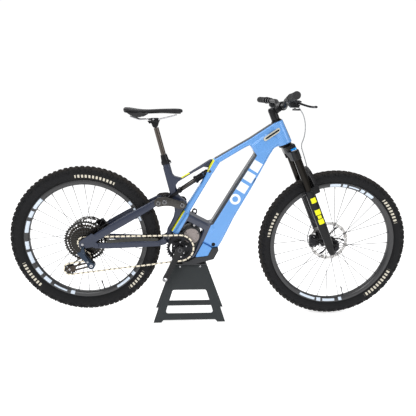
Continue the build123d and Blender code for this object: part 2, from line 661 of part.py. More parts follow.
def rotor(centre, y, radius=100.0):
    """A vented brake disc on six arms."""
    x, z = centre
    with BuildSketch(side(y + 0.9)) as disc:
        with Locations((x, z)):
            Circle(radius)
            Circle(radius - 15, mode=Mode.SUBTRACT)
            with PolarLocations(radius - 7.5, 24):
                Circle(3.2, mode=Mode.SUBTRACT)
            with PolarLocations(54, 6, start_angle=12):
                Rectangle(68, 7)
            Circle(25)
            Circle(17, mode=Mode.SUBTRACT)
    extrude(disc.sketch, amount=1.8)


REAR_BEAD, FRONT_BEAD = 292.0, 311.0
RIM_DEPTH = 20.0
FRONT_ROTOR_Y, REAR_ROTOR_Y = 40.0, 59.0

with BuildPart() as front_tyre:
    tyre(FRONT_AXLE, FRONT_TYRE_R, FRONT_BEAD, 64)
save(front_tyre, "front_tyre")
with BuildPart() as rear_tyre:
    tyre(REAR_AXLE, REAR_TYRE_R, REAR_BEAD, 71)
save(rear_tyre, "rear_tyre")
with BuildPart() as front_rim:
    rim(FRONT_AXLE, FRONT_BEAD, RIM_DEPTH)
save(front_rim, "front_rim")
with BuildPart() as rear_rim:
    rim(REAR_AXLE, REAR_BEAD, RIM_DEPTH)
save(rear_rim, "rear_rim")

FLANGE_R = 29.0
with BuildPart() as front_hub:
    spun([
        (7.5 + RUN, -55), (11, -55), (13, -46), (15, -36), (FLANGE_R, -31), (FLANGE_R, -28), (16, -22),
        (16, 14), (FLANGE_R, 20), (FLANGE_R, 23), (17, 27), (17, 43), (12, 46), (11, 55), (7.5 + RUN, 55),
    ], FRONT_AXLE)
save(front_hub, "front_hub")
with BuildPart() as front_spokes:
    spokes(FRONT_AXLE, FRONT_BEAD - RIM_DEPTH - 0.6, FLANGE_R + 1.3, (-29.5, 21.5))
save(front_spokes, "front_spokes")
with BuildPart() as front_rotor:
    rotor(FRONT_AXLE, FRONT_ROTOR_Y)
save(front_rotor, "front_rotor")

FREEHUB_END = -23.5
with BuildPart() as rear_hub:
    spun([
        (6 + RUN, FREEHUB_END), (20, FREEHUB_END), (FLANGE_R, -20.5), (FLANGE_R, -17.5), (17, -12), (17, 28),
        (FLANGE_R, 34), (FLANGE_R, 37), (17, 41), (17, 62), (12, 65), (11, 73.7), (6 + RUN, 73.7),
    ], REAR_AXLE)
save(rear_hub, "rear_hub")
with BuildPart() as rear_spokes:
    spokes(REAR_AXLE, REAR_BEAD - RIM_DEPTH - 0.6, FLANGE_R + 1.3, (-19.0, 35.5))
save(rear_spokes, "rear_spokes")
with BuildPart() as rear_rotor:
    rotor(REAR_AXLE, REAR_ROTOR_Y)
save(rear_rotor, "rear_rotor")

# ================================================================ cassette and drivetrain
COGS = (10, 12, COG_TEETH, 16, 18, 21, 24, 28, 32, 36, 42, 50)
COG_STEP = 3.3
COG_T = 1.6
TOOTH_DROP = 4.4                # cog tips stay inside the chain's band


def cog_disc(centre, teeth, y, thickness, drop=TOOTH_DROP, spare=0):
    """A toothed wheel, centred on width y."""
    x, z = centre
    tip = pitch_radius(teeth) - drop
    with BuildSketch(side(y + thickness / 2)) as disc:
        with Locations((x, z)):
            Circle(tip)
            with PolarLocations(tip, teeth):
                Circle(2.1, mode=Mode.SUBTRACT)
            if spare:
                with PolarLocations((tip + 20) / 2 + 1, 6):
                    Circle(spare, mode=Mode.SUBTRACT)
    extrude(disc.sketch, amount=thickness)


with BuildPart() as cassette:
    cross_rod(REAR_AXLE, -66, FREEHUB_END - GAP, 17)
    for i, teeth in enumerate(COGS):
        y = CHAIN_Y + (i - 2) * COG_STEP
        hole = max(0, (pitch_radius(teeth) - 34) * 0.30)
        cog_disc(REAR_AXLE, teeth, y, COG_T, spare=hole)
    for i in range(len(COGS) - 1):
        y = CHAIN_Y + (i - 1.5) * COG_STEP
        cross_rod(REAR_AXLE, y - 0.65, y + 0.65, max(17.0, pitch_radius(COGS[i]) - 12))
    cross_rod(REAR_AXLE, -73.7, -66, 11)
    cross_rod(REAR_AXLE, -80, -20, 6 + RUN, mode=Mode.SUBTRACT)
save(cassette, "cassette")

with BuildPart() as chainring:
    cog_disc(CRANK, RING_TEETH, CHAIN_Y, 3.0)
    with BuildSketch(side(CHAIN_Y + 3.0)):
        with Locations(CRANK):
            Circle(40)
            with PolarLocations(42, 5):
                Circle(9, mode=Mode.SUBTRACT)
    extrude(amount=6)
    cross_rod(CRANK, CHAIN_Y - 6, CHAIN_Y + 6, 20)
    # the spindle that both arms sit on
    cross_rod(CRANK, -86, 86, SPINDLE_R)
save(chainring, "chainring")

CRANK_LENGTH = 165.0
CRANK_DIR = Vector(-71.3, 0, -147.9).normalized()
PEDAL_R = 7.14                  # 9/16 inch thread
ARM_IN, ARM_OUT = 70.0, 86.0


def crank_arm(sign):
    """A crank arm; the chain-side one points down and back."""
    way = CRANK_DIR * (-sign)
    end = (CRANK[0] + way.X * CRANK_LENGTH, CRANK[1] + way.Z * CRANK_LENGTH)
    hull_slab([(CRANK[0], CRANK[1], 18), (end[0], end[1], 14)], sign * ARM_IN, sign * ARM_OUT)
    cross_rod(CRANK, sign * (ARM_IN - 6), sign * ARM_IN, 16)
    cross_rod(end, sign * (ARM_IN - 5), sign * (ARM_OUT + 5), PEDAL_R, mode=Mode.SUBTRACT)


with BuildPart() as crank_arm_right:
    crank_arm(-1)
    cross_rod(CRANK, -88, -60, SPINDLE_R, mode=Mode.SUBTRACT)
save(crank_arm_right, "crank_arm_right")
with BuildPart() as crank_arm_left:
    crank_arm(1)
    cross_rod(CRANK, 60, 88, SPINDLE_R, mode=Mode.SUBTRACT)
save(crank_arm_left, "crank_arm_left")


def wrap_path(wheels):
    """Tangent points of a belt round (centre, radius, turn) wheels; turn is +1 anticlockwise."""
    legs = []
    for i, ((c1, r1, d1), (c2, r2, d2)) in enumerate(zip(wheels, wheels[1:] + wheels[:1])):
        dx, dz = c2[0] - c1[0], c2[1] - c1[1]
        heading = atan2(dz, dx) - asin((d2 * r2 - d1 * r1) / sqrt(dx * dx + dz * dz))
        left = (-sin(heading), cos(heading))
        legs.append((
            (c1[0] - d1 * r1 * left[0], c1[1] - d1 * r1 * left[1]),
            (c2[0] - d2 * r2 * left[0], c2[1] - d2 * r2 * left[1]),
        ))
    return legs


def belt_loop(wheels):
    """The closed line of a belt: straight runs and the arcs round each wheel."""
    legs = wrap_path(wheels)
    for i, (start, end) in enumerate(legs):
        Line(start, end)
        (centre, radius, turn) = wheels[(i + 1) % len(wheels)]
        leave = legs[(i + 1) % len(legs)][0]
        a1 = atan2(end[1] - centre[1], end[0] - centre[0])
        a2 = atan2(leave[1] - centre[1], leave[0] - centre[0])
        sweep_by = (a2 - a1) % (2 * pi) if turn > 0 else -((a1 - a2) % (2 * pi))
        mid = a1 + sweep_by / 2
        ThreePointArc(end, (centre[0] + radius * cos(mid), centre[1] + radius * sin(mid)), leave)


CHAIN_HALF = 3.9
CHAIN_T = 4.8
ring_wheel = (CRANK, pitch_radius(RING_TEETH), 1)
cog_wheel = (REAR_AXLE, pitch_radius(COG_TEETH), 1)
guide_wheel = (GUIDE_PULLEY, pitch_radius(GUIDE_TEETH), -1)
tension_wheel = (TENSION_PULLEY, pitch_radius(TENSION_TEETH), 1)
CHAIN_WHEELS = [ring_wheel, cog_wheel, guide_wheel, tension_wheel]


def grown(wheels, by):
    return [(c, r + by * d, d) for c, r, d in wheels]


with BuildPart() as chain:
    with BuildSketch(side(CHAIN_Y + CHAIN_T / 2)):
        with BuildLine():
            belt_loop(grown(CHAIN_WHEELS, CHAIN_HALF))
        make_face()
        with BuildLine():
            belt_loop(grown(CHAIN_WHEELS, -CHAIN_HALF))
        make_face(mode=Mode.SUBTRACT)
    extrude(amount=CHAIN_T)
save(chain, "chain")

# ================================================================ swingarm
PIN_R = 6.0
with BuildPart() as chainstays:
    # one stay, then its mirror
    slab([(-226, 408), (-245, 386), (-540, 384), (-572, 388), (-575, 415), (-545, 420), (-300, 416),
          (-240, 424), (-230, 430)], -80, -20)
    plan_cut([(-220, -33), (-220, -20.5), (-236, -20.5), (-262, -40), (-330, -40.5), (-500, -65.5),
              (-580, -65.5), (-580, -73.5), (-500, -73.5), (-480, -72), (-330, -52), (-262, -51),
              (-240, -40)], 370, 440)
    hull_slab([(MAIN_PIVOT[0], MAIN_PIVOT[1], 19), (-236, 410, 16)], -33, -20.5)
    hull_slab([(HORST[0], HORST[1], 15)], -73.5, -65.5)
    mirror(about=Plane.XZ)
    # bridge behind the main pivot
    slab([(-247, 398), (-231, 398), (-230, 418), (-246, 420)], -44, 44)
    for sign in (-1, 1):
        cross_rod(HORST, sign * 60, sign * 80, PIN_R + RUN, mode=Mode.SUBTRACT)
    cross_rod(MAIN_PIVOT, -40, 40, 8 + RUN, mode=Mode.SUBTRACT)
save(chainstays, "chainstays")

with BuildPart() as seatstays:
    slab([(-250, 590), (-262, 583), (-300, 566), (-420, 500), (-470, 466), (-540, 428), (-560, 424),
          (-575, 400), (-600, 392), (-632, 395), (-634, 425), (-610, 440), (-560, 470), (-420, 545),
          (-300, 606), (-262, 620), (-248, 616)], -84, -30)
    plan_cut([(-240, -38.5), (-300, -40.5), (-480, -66), (-560, -74.2), (-640, -74.2), (-640, -82),
              (-560, -82), (-480, -80), (-302, -52), (-290, -49.4), (-240, -49.4)], 370, 640)
    hull_slab([(REAR_AXLE[0], REAR_AXLE[1], 20), (HORST[0], HORST[1], 15)], -82, -74.2)
    mirror(about=Plane.XZ)
    for sign in (-1, 1):
        cross_rod(STAY_TOP, sign * 30, sign * 60, 10, mode=Mode.SUBTRACT)
        cross_rod(HORST, sign * 65.7, sign * 76, PIN_R)
        cross_rod(REAR_AXLE, sign * 70, sign * 90, 6, mode=Mode.SUBTRACT)
    # bridge between the stays, ahead of the tyre
    cross_rod((-274, 594), -42, 42, 6)
save(seatstays, "seatstays")

with BuildPart() as rear_axle:
    cross_rod(REAR_AXLE, -84, 84, 6)
    cross_rod(REAR_AXLE, 82, 86, 10)
save(rear_axle, "rear_axle")


def caliper(centre, disc_centre, disc_y, y_from, y_to, angle):
    """A two-piston caliper body round the edge of a disc."""
    place = Plane(origin=(centre[0], y_from, centre[1]), x_dir=(cos(angle), 0, sin(angle)), z_dir=(0, 1, 0))
    with BuildSketch(place) as body:
        RectangleRounded(40, 66, 9)
    extrude(body.sketch, amount=y_to - y_from)
    groove = [(0, disc_y - 2), (104, disc_y - 2), (104, disc_y + 2), (0, disc_y + 2)]
    spun(groove, disc_centre, mode=Mode.SUBTRACT)


with BuildPart() as front_caliper:
    caliper((521, 379), FRONT_AXLE, FRONT_ROTOR_Y, 27, 50.9, radians(180))
    spun([(0, 20), (66, 20), (66, 60), (0, 60)], FRONT_AXLE, mode=Mode.SUBTRACT)
save(front_caliper, "front_caliper")
with BuildPart() as rear_caliper:
    caliper((-544, 468), REAR_AXLE, REAR_ROTOR_Y, 46, 66.0, radians(38))
    add(seatstays.part, mode=Mode.SUBTRACT)
save(rear_caliper, "rear_caliper")

ROCKER_IN, ROCKER_OUT = 50.0, 57.0
with BuildPart() as rocker_link:
    for sign in (-1, 1):
        inner, outer = sign * ROCKER_IN, sign * ROCKER_OUT
        hull_slab([(STAY_TOP[0], STAY_TOP[1], 19), (YOKE[0], YOKE[1] + 2, 21)], inner, outer)
        hull_slab([(YOKE[0], YOKE[1] + 2, 20), (-180, 606, 18)], inner, outer)
        hull_slab([(-180, 606, 18), (ROCKER_PIVOT[0], ROCKER_PIVOT[1], 20)], inner, outer)
        cross_rod(STAY_TOP, sign * 38, sign * 60, 5)
        cross_rod(YOKE, sign * 20.5, sign * 50, 9)
        cross_rod(ROCKER_PIVOT, sign * 40, sign * 70, 8 + RUN, mode=Mode.SUBTRACT)
save(rocker_link, "rocker_link")

# ---------------------------------------------------------------- shock
SHOCK_LINE = Vector(YOKE[0] - SHOCK_TOP[0], 0, YOKE[1] - SHOCK_TOP[1])
SHOCK_LENGTH = SHOCK_LINE.length
SHOCK_DIR = SHOCK_LINE.normalized()


def along_shock(distance, y=0.0):
    """A point on the shock's axis, measured down from its front eye."""
    return Vector(SHOCK_TOP[0], y, SHOCK_TOP[1]) + SHOCK_DIR * distance


CAN_END = 84.0
SHAFT_R = 11.0
with BuildPart() as shock_can:
    rod(along_shock(8), along_shock(CAN_END - 12), 15.5)
    rod(along_shock(CAN_END - 12), along_shock(CAN_END), 19)
    cross_rod(SHOCK_TOP, -18, 18, 10)
    rod(along_shock(13), along_shock(CAN_END + 5), SHAFT_R + RUN, mode=Mode.SUBTRACT)
    cross_rod(SHOCK_TOP, -30, 30, 5 + RUN, mode=Mode.SUBTRACT)
save(shock_can, "shock_can")

BRIDGE = SHOCK_LENGTH - 92.0
with BuildPart() as shock_shaft:
    rod(along_shock(CAN_END - 9), along_shock(BRIDGE), SHAFT_R)
    rod(along_shock(BRIDGE - 13), along_shock(BRIDGE), 17)
    across = Plane(origin=along_shock(BRIDGE), x_dir=(0, 1, 0), z_dir=SHOCK_DIR)
    with BuildSketch(across):
        RectangleRounded(56, 22, 8)
    extrude(amount=12)
    for sign in (-1, 1):
        with BuildSketch(across):
            with Locations((sign * 24, 0)):
                Rectangle(7, 15)
        extrude(amount=78)
        cross_rod(YOKE, sign * 20.5, sign * 27.5, 18.5)
        cross_rod(YOKE, sign * 20, sign * 30, 14, mode=Mode.SUBTRACT)
save(shock_shaft, "shock_shaft")

# ================================================================ derailleur
CAGE_OUT, CAGE_IN = CHAIN_Y - 6.0, CHAIN_Y + 5.0
with BuildPart() as derailleur_body:
    # hanger knuckle, parallelogram arms and cage knuckle
    hull_slab([(-612, 388, 8), (-614, 372, 13)], -94, -84.3)
    hull_slab([(-632, 372, 8), (-616, 372, 10), (-590, 328, 9)], -96, -90)
    hull_slab([(-612, 366, 7), (CAGE_PIVOT[0], CAGE_PIVOT[1] + 10, 9)], -84, -78)
    hull_slab([(-590, 326, 9), (CAGE_PIVOT[0], CAGE_PIVOT[1], 17)], -96, -70)
    hull_slab([(REAR_AXLE[0], 400, 8), (-612, 386, 8)], -90, -82.2)
    cross_rod(REAR_AXLE, -95, -80, 11, mode=Mode.SUBTRACT)
    cross_rod(CAGE_PIVOT, -80, -60, 6 + RUN, mode=Mode.SUBTRACT)
save(derailleur_body, "derailleur_body")

with BuildPart() as derailleur_cage:
    outline = [(CAGE_PIVOT[0], CAGE_PIVOT[1], 14), (GUIDE_PULLEY[0], GUIDE_PULLEY[1], 12)]
    lower = [(CAGE_PIVOT[0], CAGE_PIVOT[1], 14), (TENSION_PULLEY[0], TENSION_PULLEY[1], 15)]
    hull_slab(outline, CAGE_OUT - 2.5, CAGE_OUT)
    hull_slab(lower, CAGE_OUT - 2.5, CAGE_OUT)
    hull_slab([(TENSION_PULLEY[0], TENSION_PULLEY[1], 15), (GUIDE_PULLEY[0], GUIDE_PULLEY[1], 12)],
              CAGE_IN, CAGE_IN + 2)
    for pulley in (GUIDE_PULLEY, TENSION_PULLEY):
        cross_rod(pulley, CAGE_OUT - 3, CAGE_IN + 3, 4)
    cross_rod(CAGE_PIVOT, -79, CAGE_OUT, 6)
save(derailleur_cage, "derailleur_cage")

for centre, teeth, label in (
    (GUIDE_PULLEY, GUIDE_TEETH, "guide_pulley"), (TENSION_PULLEY, TENSION_TEETH, "tension_pulley"),
):
    with BuildPart() as pulley:
        cog_disc(centre, teeth, CHAIN_Y, 2.4)
        cross_rod(centre, CHAIN_Y - 4, CHAIN_Y + 4, 8)
        cross_rod(centre, CHAIN_Y - 9, CHAIN_Y + 9, 4 + RUN, mode=Mode.SUBTRACT)
    save(pulley, label)

# ================================================================ brake hose
HOSE_R = 2.5
hose_route = [
    Vector(327.6, -148.4, 1067.1), Vector(338, -122, 1069), Vector(368, -98, 1058),
    Vector(402, -80, 1022), Vector(424, -62, 970), Vector(432, -42, 908), Vector(432, -16, 846),
    steer(80, 14, 452), steer(76, 42, 400), steer(72, 64, 346), steer(66, 74, 290),
    steer(58, 82, 232), steer(46, 91, 176), steer(24, 97, 124), steer(-6, 97, 84),
    steer(-34, 84, 58), steer(-52, 62, 42), steer(-56, 45, 32),
]


def easy_radii(points):
    """The largest arc at each corner that its two runs leave room for."""
    radii = []
    for a, b, c in zip(points, points[1:], points[2:]):
        turn = radians((b - a).get_angle(c - b))
        radii.append(0.45 * min((b - a).length, (c - b).length) / tan(turn / 2))
    return radii


hose_radii = easy_radii(hose_route)
with BuildPart() as front_brake_hose:
    with BuildLine() as hose_line:
        FilletPolyline(*hose_route, radius=hose_radii)
    with BuildSketch(Plane(origin=hose_line.line @ 0, z_dir=hose_line.line % 0)):
        Circle(HOSE_R)
    sweep(path=hose_line.line)
save(front_brake_hose, "front_brake_hose")
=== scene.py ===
"""Looks for the electric mountain bike on its stand.

Shapes are made in millimetres in the CAD's own frame (+X forward, +Y left, +Z up) and scaled
to metres when a piece is built.
"""
import json
from math import asin, atan2, cos, hypot, pi, radians, sin, tan

import bmesh
import bpy
from mathutils import Matrix, Vector


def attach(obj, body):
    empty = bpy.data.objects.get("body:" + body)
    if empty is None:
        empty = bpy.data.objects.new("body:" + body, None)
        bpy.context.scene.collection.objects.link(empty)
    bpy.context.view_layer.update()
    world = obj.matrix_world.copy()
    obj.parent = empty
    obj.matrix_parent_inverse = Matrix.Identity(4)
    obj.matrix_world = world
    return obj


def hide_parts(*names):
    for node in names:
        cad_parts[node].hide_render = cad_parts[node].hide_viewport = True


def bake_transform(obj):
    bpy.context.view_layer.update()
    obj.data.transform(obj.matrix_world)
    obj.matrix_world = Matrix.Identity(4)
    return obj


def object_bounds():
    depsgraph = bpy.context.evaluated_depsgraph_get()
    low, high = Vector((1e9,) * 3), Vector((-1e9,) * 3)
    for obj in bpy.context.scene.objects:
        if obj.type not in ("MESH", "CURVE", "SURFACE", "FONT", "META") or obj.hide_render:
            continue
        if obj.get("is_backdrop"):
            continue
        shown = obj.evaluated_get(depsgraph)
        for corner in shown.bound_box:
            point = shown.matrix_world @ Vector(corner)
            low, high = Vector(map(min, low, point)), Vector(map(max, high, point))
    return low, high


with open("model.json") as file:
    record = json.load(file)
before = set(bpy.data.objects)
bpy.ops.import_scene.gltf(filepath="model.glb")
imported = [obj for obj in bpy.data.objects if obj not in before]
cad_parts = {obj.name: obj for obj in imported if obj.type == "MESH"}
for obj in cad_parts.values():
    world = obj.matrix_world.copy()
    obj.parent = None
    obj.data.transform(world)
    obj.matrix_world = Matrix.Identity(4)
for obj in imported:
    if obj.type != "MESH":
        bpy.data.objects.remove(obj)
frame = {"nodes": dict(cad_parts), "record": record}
CAD_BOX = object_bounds()
MM = 0.001


# ================================================================ places taken from the frame
JOINTS = {j["name"]: j for j in frame["record"]["behaviour"]["joints"]}


def joint_xz(name):
    """Where a joint's axis crosses the side view."""
    x, _, z = JOINTS[name]["pos_m"]
    return (x / MM, z / MM)


def at_y(point, y):
    """A side-view point set at y across the bike."""
    return (point[0], y, point[1])


def polar(centre, radius, turn):
    """The side-view point at a radius and a turn about a centre."""
    return (centre[0] + radius * cos(turn), centre[1] + radius * sin(turn))


REAR_AXLE = joint_xz("rear_wheel_spin")
FRONT_AXLE = joint_xz("front_wheel_spin")
CRANK = joint_xz("crank_spin")
MAIN_PIVOT = joint_xz("suspension")
HORST = joint_xz("stay_hinge")
ROCKER_PIVOT = joint_xz("rocker_hinge")
SHOCK_TOP = joint_xz("shock_swing")
CAGE_PIVOT = joint_xz("cage_swing")
GUIDE_PULLEY = joint_xz("upper_pulley_spin")
TENSION_PULLEY = joint_xz("lower_pulley_spin")
STAY_TOP = (-260.0, 604.0)
YOKE = (-230.5, 609.0)

UP = Vector(JOINTS["steering"]["axis"]).normalized()
AHEAD = Vector((UP.z, 0, -UP.x))
FORK_OFFSET = 44.0
LEG_OFFSET = 18.0
LEG_Y = 65.0
FOOT = Vector(at_y(FRONT_AXLE, 0)) - AHEAD * FORK_OFFSET


def steer(ahead, y, up):
    """A point given ahead of the steering axis, across, and up along it."""
    return FOOT + AHEAD * ahead + Vector((0, y, 0)) + UP * up


POST_TOP = Vector((-235.7, 0, 827.6))
POST_DIR = Vector(JOINTS["dropper_slide"]["axis"]).normalized()


def along_post(distance):
    """A point measured up the saddle post from its collar's top."""
    return POST_TOP + POST_DIR * distance


# ================================================================ camera and light
def look(position, yaw, pitch, roll, lens, shift):
    """A camera turned yaw to +X, pitch down and roll, all in degrees."""
    yaw, pitch, roll = radians(yaw), radians(pitch), radians(roll)
    forward = Vector((sin(yaw) * cos(pitch), cos(yaw) * cos(pitch), -sin(pitch)))
    level = Vector((cos(yaw), -sin(yaw), 0))
    above = level.cross(forward)
    right = level * cos(roll) + above * sin(roll)
    up = above * cos(roll) - level * sin(roll)
    data = bpy.data.cameras.new("camera")
    data.sensor_width = 36
    data.lens = lens
    data.shift_x, data.shift_y = shift
    camera = bpy.data.objects.new("camera", data)
    turn = Matrix((right, up, -forward)).transposed().to_4x4()
    camera.matrix_world = Matrix.Translation(position) @ turn
    bpy.context.scene.collection.objects.link(camera)
    bpy.context.scene.camera = camera


def area_light(name, position, target, size, power):
    data = bpy.data.lights.new(name, "AREA")
    data.shape = "RECTANGLE"
    data.size, data.size_y = size
    data.energy = power
    light = bpy.data.objects.new(name, data)
    light.location = position
    aim = Vector(target) - Vector(position)
    light.rotation_euler = aim.to_track_quat("-Z", "Y").to_euler()
    bpy.context.scene.collection.objects.link(light)


look((-0.1127, -1.8436, 1.0465), 2.875, 11.08, 0.49, 33.68, (-0.0018, -0.0576))
area_light("key", (-1.2, -2.6, 3.0), (0, 0, 0.5), (2.4, 1.6), 62)
area_light("fill", (2.6, -2.0, 2.0), (0.2, 0, 0.6), (1.6, 1.6), 26)
area_light("top", (0.0, 0.6, 3.2), (0, 0, 0.4), (3.0, 2.0), 30)
area_light("back", (-1.5, 2.6, 1.8), (0, 0, 0.7), (2.0, 1.2), 16)

# the surroundings light the bike less strongly than they show behind it
AMBIENT_STRENGTH, BACKDROP_STRENGTH = 0.48, 1.05
world = bpy.data.worlds.new("world")
world.use_nodes = True
backdrop = world.node_tree.nodes["Background"]
backdrop.inputs["Color"].default_value = (1, 1, 1, 1)
path = world.node_tree.nodes.new("ShaderNodeLightPath")
strength = world.node_tree.nodes.new("ShaderNodeMapRange")
strength.inputs["To Min"].default_value = AMBIENT_STRENGTH
strength.inputs["To Max"].default_value = BACKDROP_STRENGTH
world.node_tree.links.new(path.outputs["Is Camera Ray"], strength.inputs["Value"])
world.node_tree.links.new(strength.outputs["Result"], backdrop.inputs["Strength"])
bpy.context.scene.world = world
bpy.context.scene.view_settings.view_transform = "Standard"


# ================================================================ materials
class Nodes:
    """Short names for the few shader nodes that the finishes are made of."""

    def __init__(self, name):
        self.material = bpy.data.materials.new(name)
        self.material.use_nodes = True
        self.tree = self.material.node_tree
        self.bsdf = self.tree.nodes["Principled BSDF"]
        self.place = self.tree.nodes.new("ShaderNodeTexCoord").outputs["Object"]

    def node(self, kind, inputs=(), **settings):
        node = self.tree.nodes.new(kind)
        for key, value in settings.items():
            setattr(node, key, value)
        for key, value in dict(inputs).items():
            self.set(node.inputs[key], value)
        return node

    def set(self, socket, value):
        if isinstance(value, bpy.types.NodeSocket):
            self.tree.links.new(value, socket)
        else:
            socket.default_value = value

    def math(self, operation, a, b=0.0):
        return self.node("ShaderNodeMath", {0: a, 1: b}, operation=operation).outputs[0]

    def noise(self, scale, detail=3.0, place=None):
        node = self.node("ShaderNodeTexNoise",
                         {"Vector": place or self.place, "Scale": scale, "Detail": detail})
        return node.outputs["Fac"]

    def cells(self, scale):
        return self.node("ShaderNodeTexVoronoi", {"Vector": self.place, "Scale": scale}).outputs["Distance"]

    def stretch(self, x, y, z):
        """Object coordinates scaled per axis, for a brushed or woven look."""
        node = self.node("ShaderNodeMapping", {"Vector": self.place, "Scale": (x, y, z)})
        return node.outputs["Vector"]

    def spread(self, value, low, high):
        """A 0 to 1 value brought to low to high."""
        node = self.node("ShaderNodeMapRange", {"Value": value, "To Min": low, "To Max": high})
        return node.outputs["Result"]

    def step(self, value, at, soft=0.0004):
        """0 below `at` and 1 above it."""
        node = self.node("ShaderNodeMapRange", {"Value": value, "From Min": at - soft, "From Max": at + soft})
        return node.outputs["Result"]

    def mix(self, factor, a, b):
        node = self.node("ShaderNodeMix", data_type="RGBA")
        self.set(node.inputs[0], factor)
        self.set(node.inputs[6], (*a, 1) if isinstance(a, tuple) else a)
        self.set(node.inputs[7], (*b, 1) if isinstance(b, tuple) else b)
        return node.outputs[2]

    def side_of(self, point, normal):
        """Distance in metres past a line in the side view, positive along `normal`."""
        nx, nz = normal
        length = hypot(nx, nz)
        parts = self.node("ShaderNodeSeparateXYZ", {0: self.place})
        along = self.math("ADD", self.math("MULTIPLY", parts.outputs[0], nx / length),
                          self.math("MULTIPLY", parts.outputs[2], nz / length))
        return self.math("SUBTRACT", along, (point[0] * nx + point[1] * nz) * MM / length)

    def inside(self, corners):
        """1 inside a convex side-view outline given anticlockwise in millimetres."""
        result = 1.0
        for (x1, z1), (x2, z2) in zip(corners, corners[1:] + corners[:1]):
            edge = self.step(self.side_of((x1, z1), (z1 - z2, x2 - x1)), 0.0)
            result = self.math("MULTIPLY", result, edge)
        return result

    def around(self, centre):
        """Radius in metres and angle in turns, about an axle across the bike."""
        parts = self.node("ShaderNodeSeparateXYZ", {0: self.place})
        x = self.math("SUBTRACT", parts.outputs[0], centre[0] * MM)
        z = self.math("SUBTRACT", parts.outputs[2], centre[1] * MM)
        square = self.math("ADD", self.math("MULTIPLY", x, x), self.math("MULTIPLY", z, z))
        turn = self.math("DIVIDE", self.math("ARCTAN2", z, x), 2 * pi)
        return self.math("SQRT", square), turn

    def band(self, value, low, high, soft=0.0004):
        return self.math("MULTIPLY", self.step(value, low, soft),
                         self.math("SUBTRACT", 1.0, self.step(value, high, soft)))

    def bump(self, height, strength, distance=0.001):
        inputs = {"Height": height, "Strength": strength, "Distance": distance}
        if self.bsdf.inputs["Normal"].is_linked:
            inputs["Normal"] = self.bsdf.inputs["Normal"].links[0].from_socket
        node = self.node("ShaderNodeBump", inputs)
        self.set(self.bsdf.inputs["Normal"], node.outputs[0])

    def finish(self, colour, rough, metal=0.0, coat=0.0, coat_rough=0.06, sheen=0.0, specular=0.5):
        self.set(self.bsdf.inputs["Base Color"], (*colour, 1) if isinstance(colour, tuple) else colour)
        self.set(self.bsdf.inputs["Roughness"], rough)
        self.bsdf.inputs["Metallic"].default_value = metal
        self.bsdf.inputs["Coat Weight"].default_value = coat
        self.bsdf.inputs["Coat Roughness"].default_value = coat_rough
        self.bsdf.inputs["Sheen Weight"].default_value = sheen
        self.bsdf.inputs["Specular IOR Level"].default_value = specular
        return self.material


def shade(colour, factor):
    return tuple(min(1.0, c * factor) for c in colour)


def mottled(n, colour, amount=0.12, scale=40):
    """The colour with a slow uneven variation."""
    return n.mix(n.noise(scale, 4), shade(colour, 1 - amount), shade(colour, 1 + amount))


def worn(n, colour, edge):
    """The colour rubbed lighter along the edges."""
    pointy = n.node("ShaderNodeNewGeometry").outputs["Pointiness"]
    node = n.node("ShaderNodeMapRange", {"Value": pointy, "From Min": 0.52, "From Max": 0.60})
    return n.mix(n.math("MULTIPLY", node.outputs[0], n.noise(120)), colour, edge)


def lacquered(n, base):
    """Clear lacquer with a little orange peel over a paint."""
    n.bump(n.noise(260, 2), 0.03)
    return n.finish(base, n.spread(n.noise(30), 0.32, 0.42), metal=0.10, coat=0.4, coat_rough=0.12,
                    specular=0.3)


def painted(name, colour, fleck=0.05):
    """Lacquered frame paint with a fine metallic fleck."""
    n = Nodes(name)
    return lacquered(n, n.mix(n.cells(1500), shade(colour, 1 - fleck), shade(colour, 1 + fleck)))


def anodised(name, colour, rough=0.38):
    """Bead-blasted and anodised aluminium, rubbed at its edges."""
    n = Nodes(name)
    n.bump(n.noise(900, 2), 0.12, 0.0005)
    base = worn(n, mottled(n, colour, 0.10), shade(colour, 2.2))
    return n.finish(base, n.spread(n.noise(60), rough - 0.06, rough + 0.08), metal=0.85)


def plastic(name, colour, rough=0.55, grain=1400, strength=0.25):
    """Moulded plastic with a fine spark-eroded grain."""
    n = Nodes(name)
    n.bump(n.cells(grain), strength, 0.0004)
    return n.finish(mottled(n, colour, 0.10, 25), n.spread(n.noise(50), rough - 0.08, rough + 0.08),
                    specular=0.28)


def gloss(name, colour, coat=0.9):
    """Smooth lacquer over a dark base."""
    n = Nodes(name)
    n.bump(n.noise(180, 2), 0.02)
    return n.finish(mottled(n, colour, 0.15, 15), n.spread(n.noise(45), 0.22, 0.34), coat=coat,
                    coat_rough=0.04, specular=0.25)


def brushed(name, colour, direction, rough=0.3, metal=1.0):
    """Metal with fine lines; direction holds small scales along the lines and big ones across."""
    n = Nodes(name)
    lines = n.noise(1.0, 2, n.stretch(*direction))
    n.bump(lines, 0.12, 0.0004)
    return n.finish(n.mix(lines, shade(colour, 0.85), shade(colour, 1.12)),
                    n.spread(lines, rough - 0.07, rough + 0.1), metal=metal)


def rubber(name, colour):
    """Moulded rubber, dull and slightly uneven."""
    n = Nodes(name)
    n.bump(n.noise(700, 4), 0.35, 0.0006)
    return n.finish(worn(n, mottled(n, colour, 0.25, 60), shade(colour, 1.9)),
                    n.spread(n.noise(80), 0.65, 0.85),
                    specular=0.22)


def turned(name, colour, centre, rough, rings=900):
    """Metal ground or turned in circles about an axle."""
    n = Nodes(name)
    radius, _ = n.around(centre)
    lines = n.noise(1.0, 2, n.node("ShaderNodeCombineXYZ", {0: n.math("MULTIPLY", radius, rings)}).outputs[0])
    n.bump(lines, 0.15, 0.0003)
    return n.finish(n.mix(lines, shade(colour, 0.8), shade(colour, 1.15)),
                    n.spread(lines, rough - 0.06, rough + 0.12), metal=1.0)


# ================================================================ shapes
def side_view(a, b, depth):
    return Vector((a, depth, b))


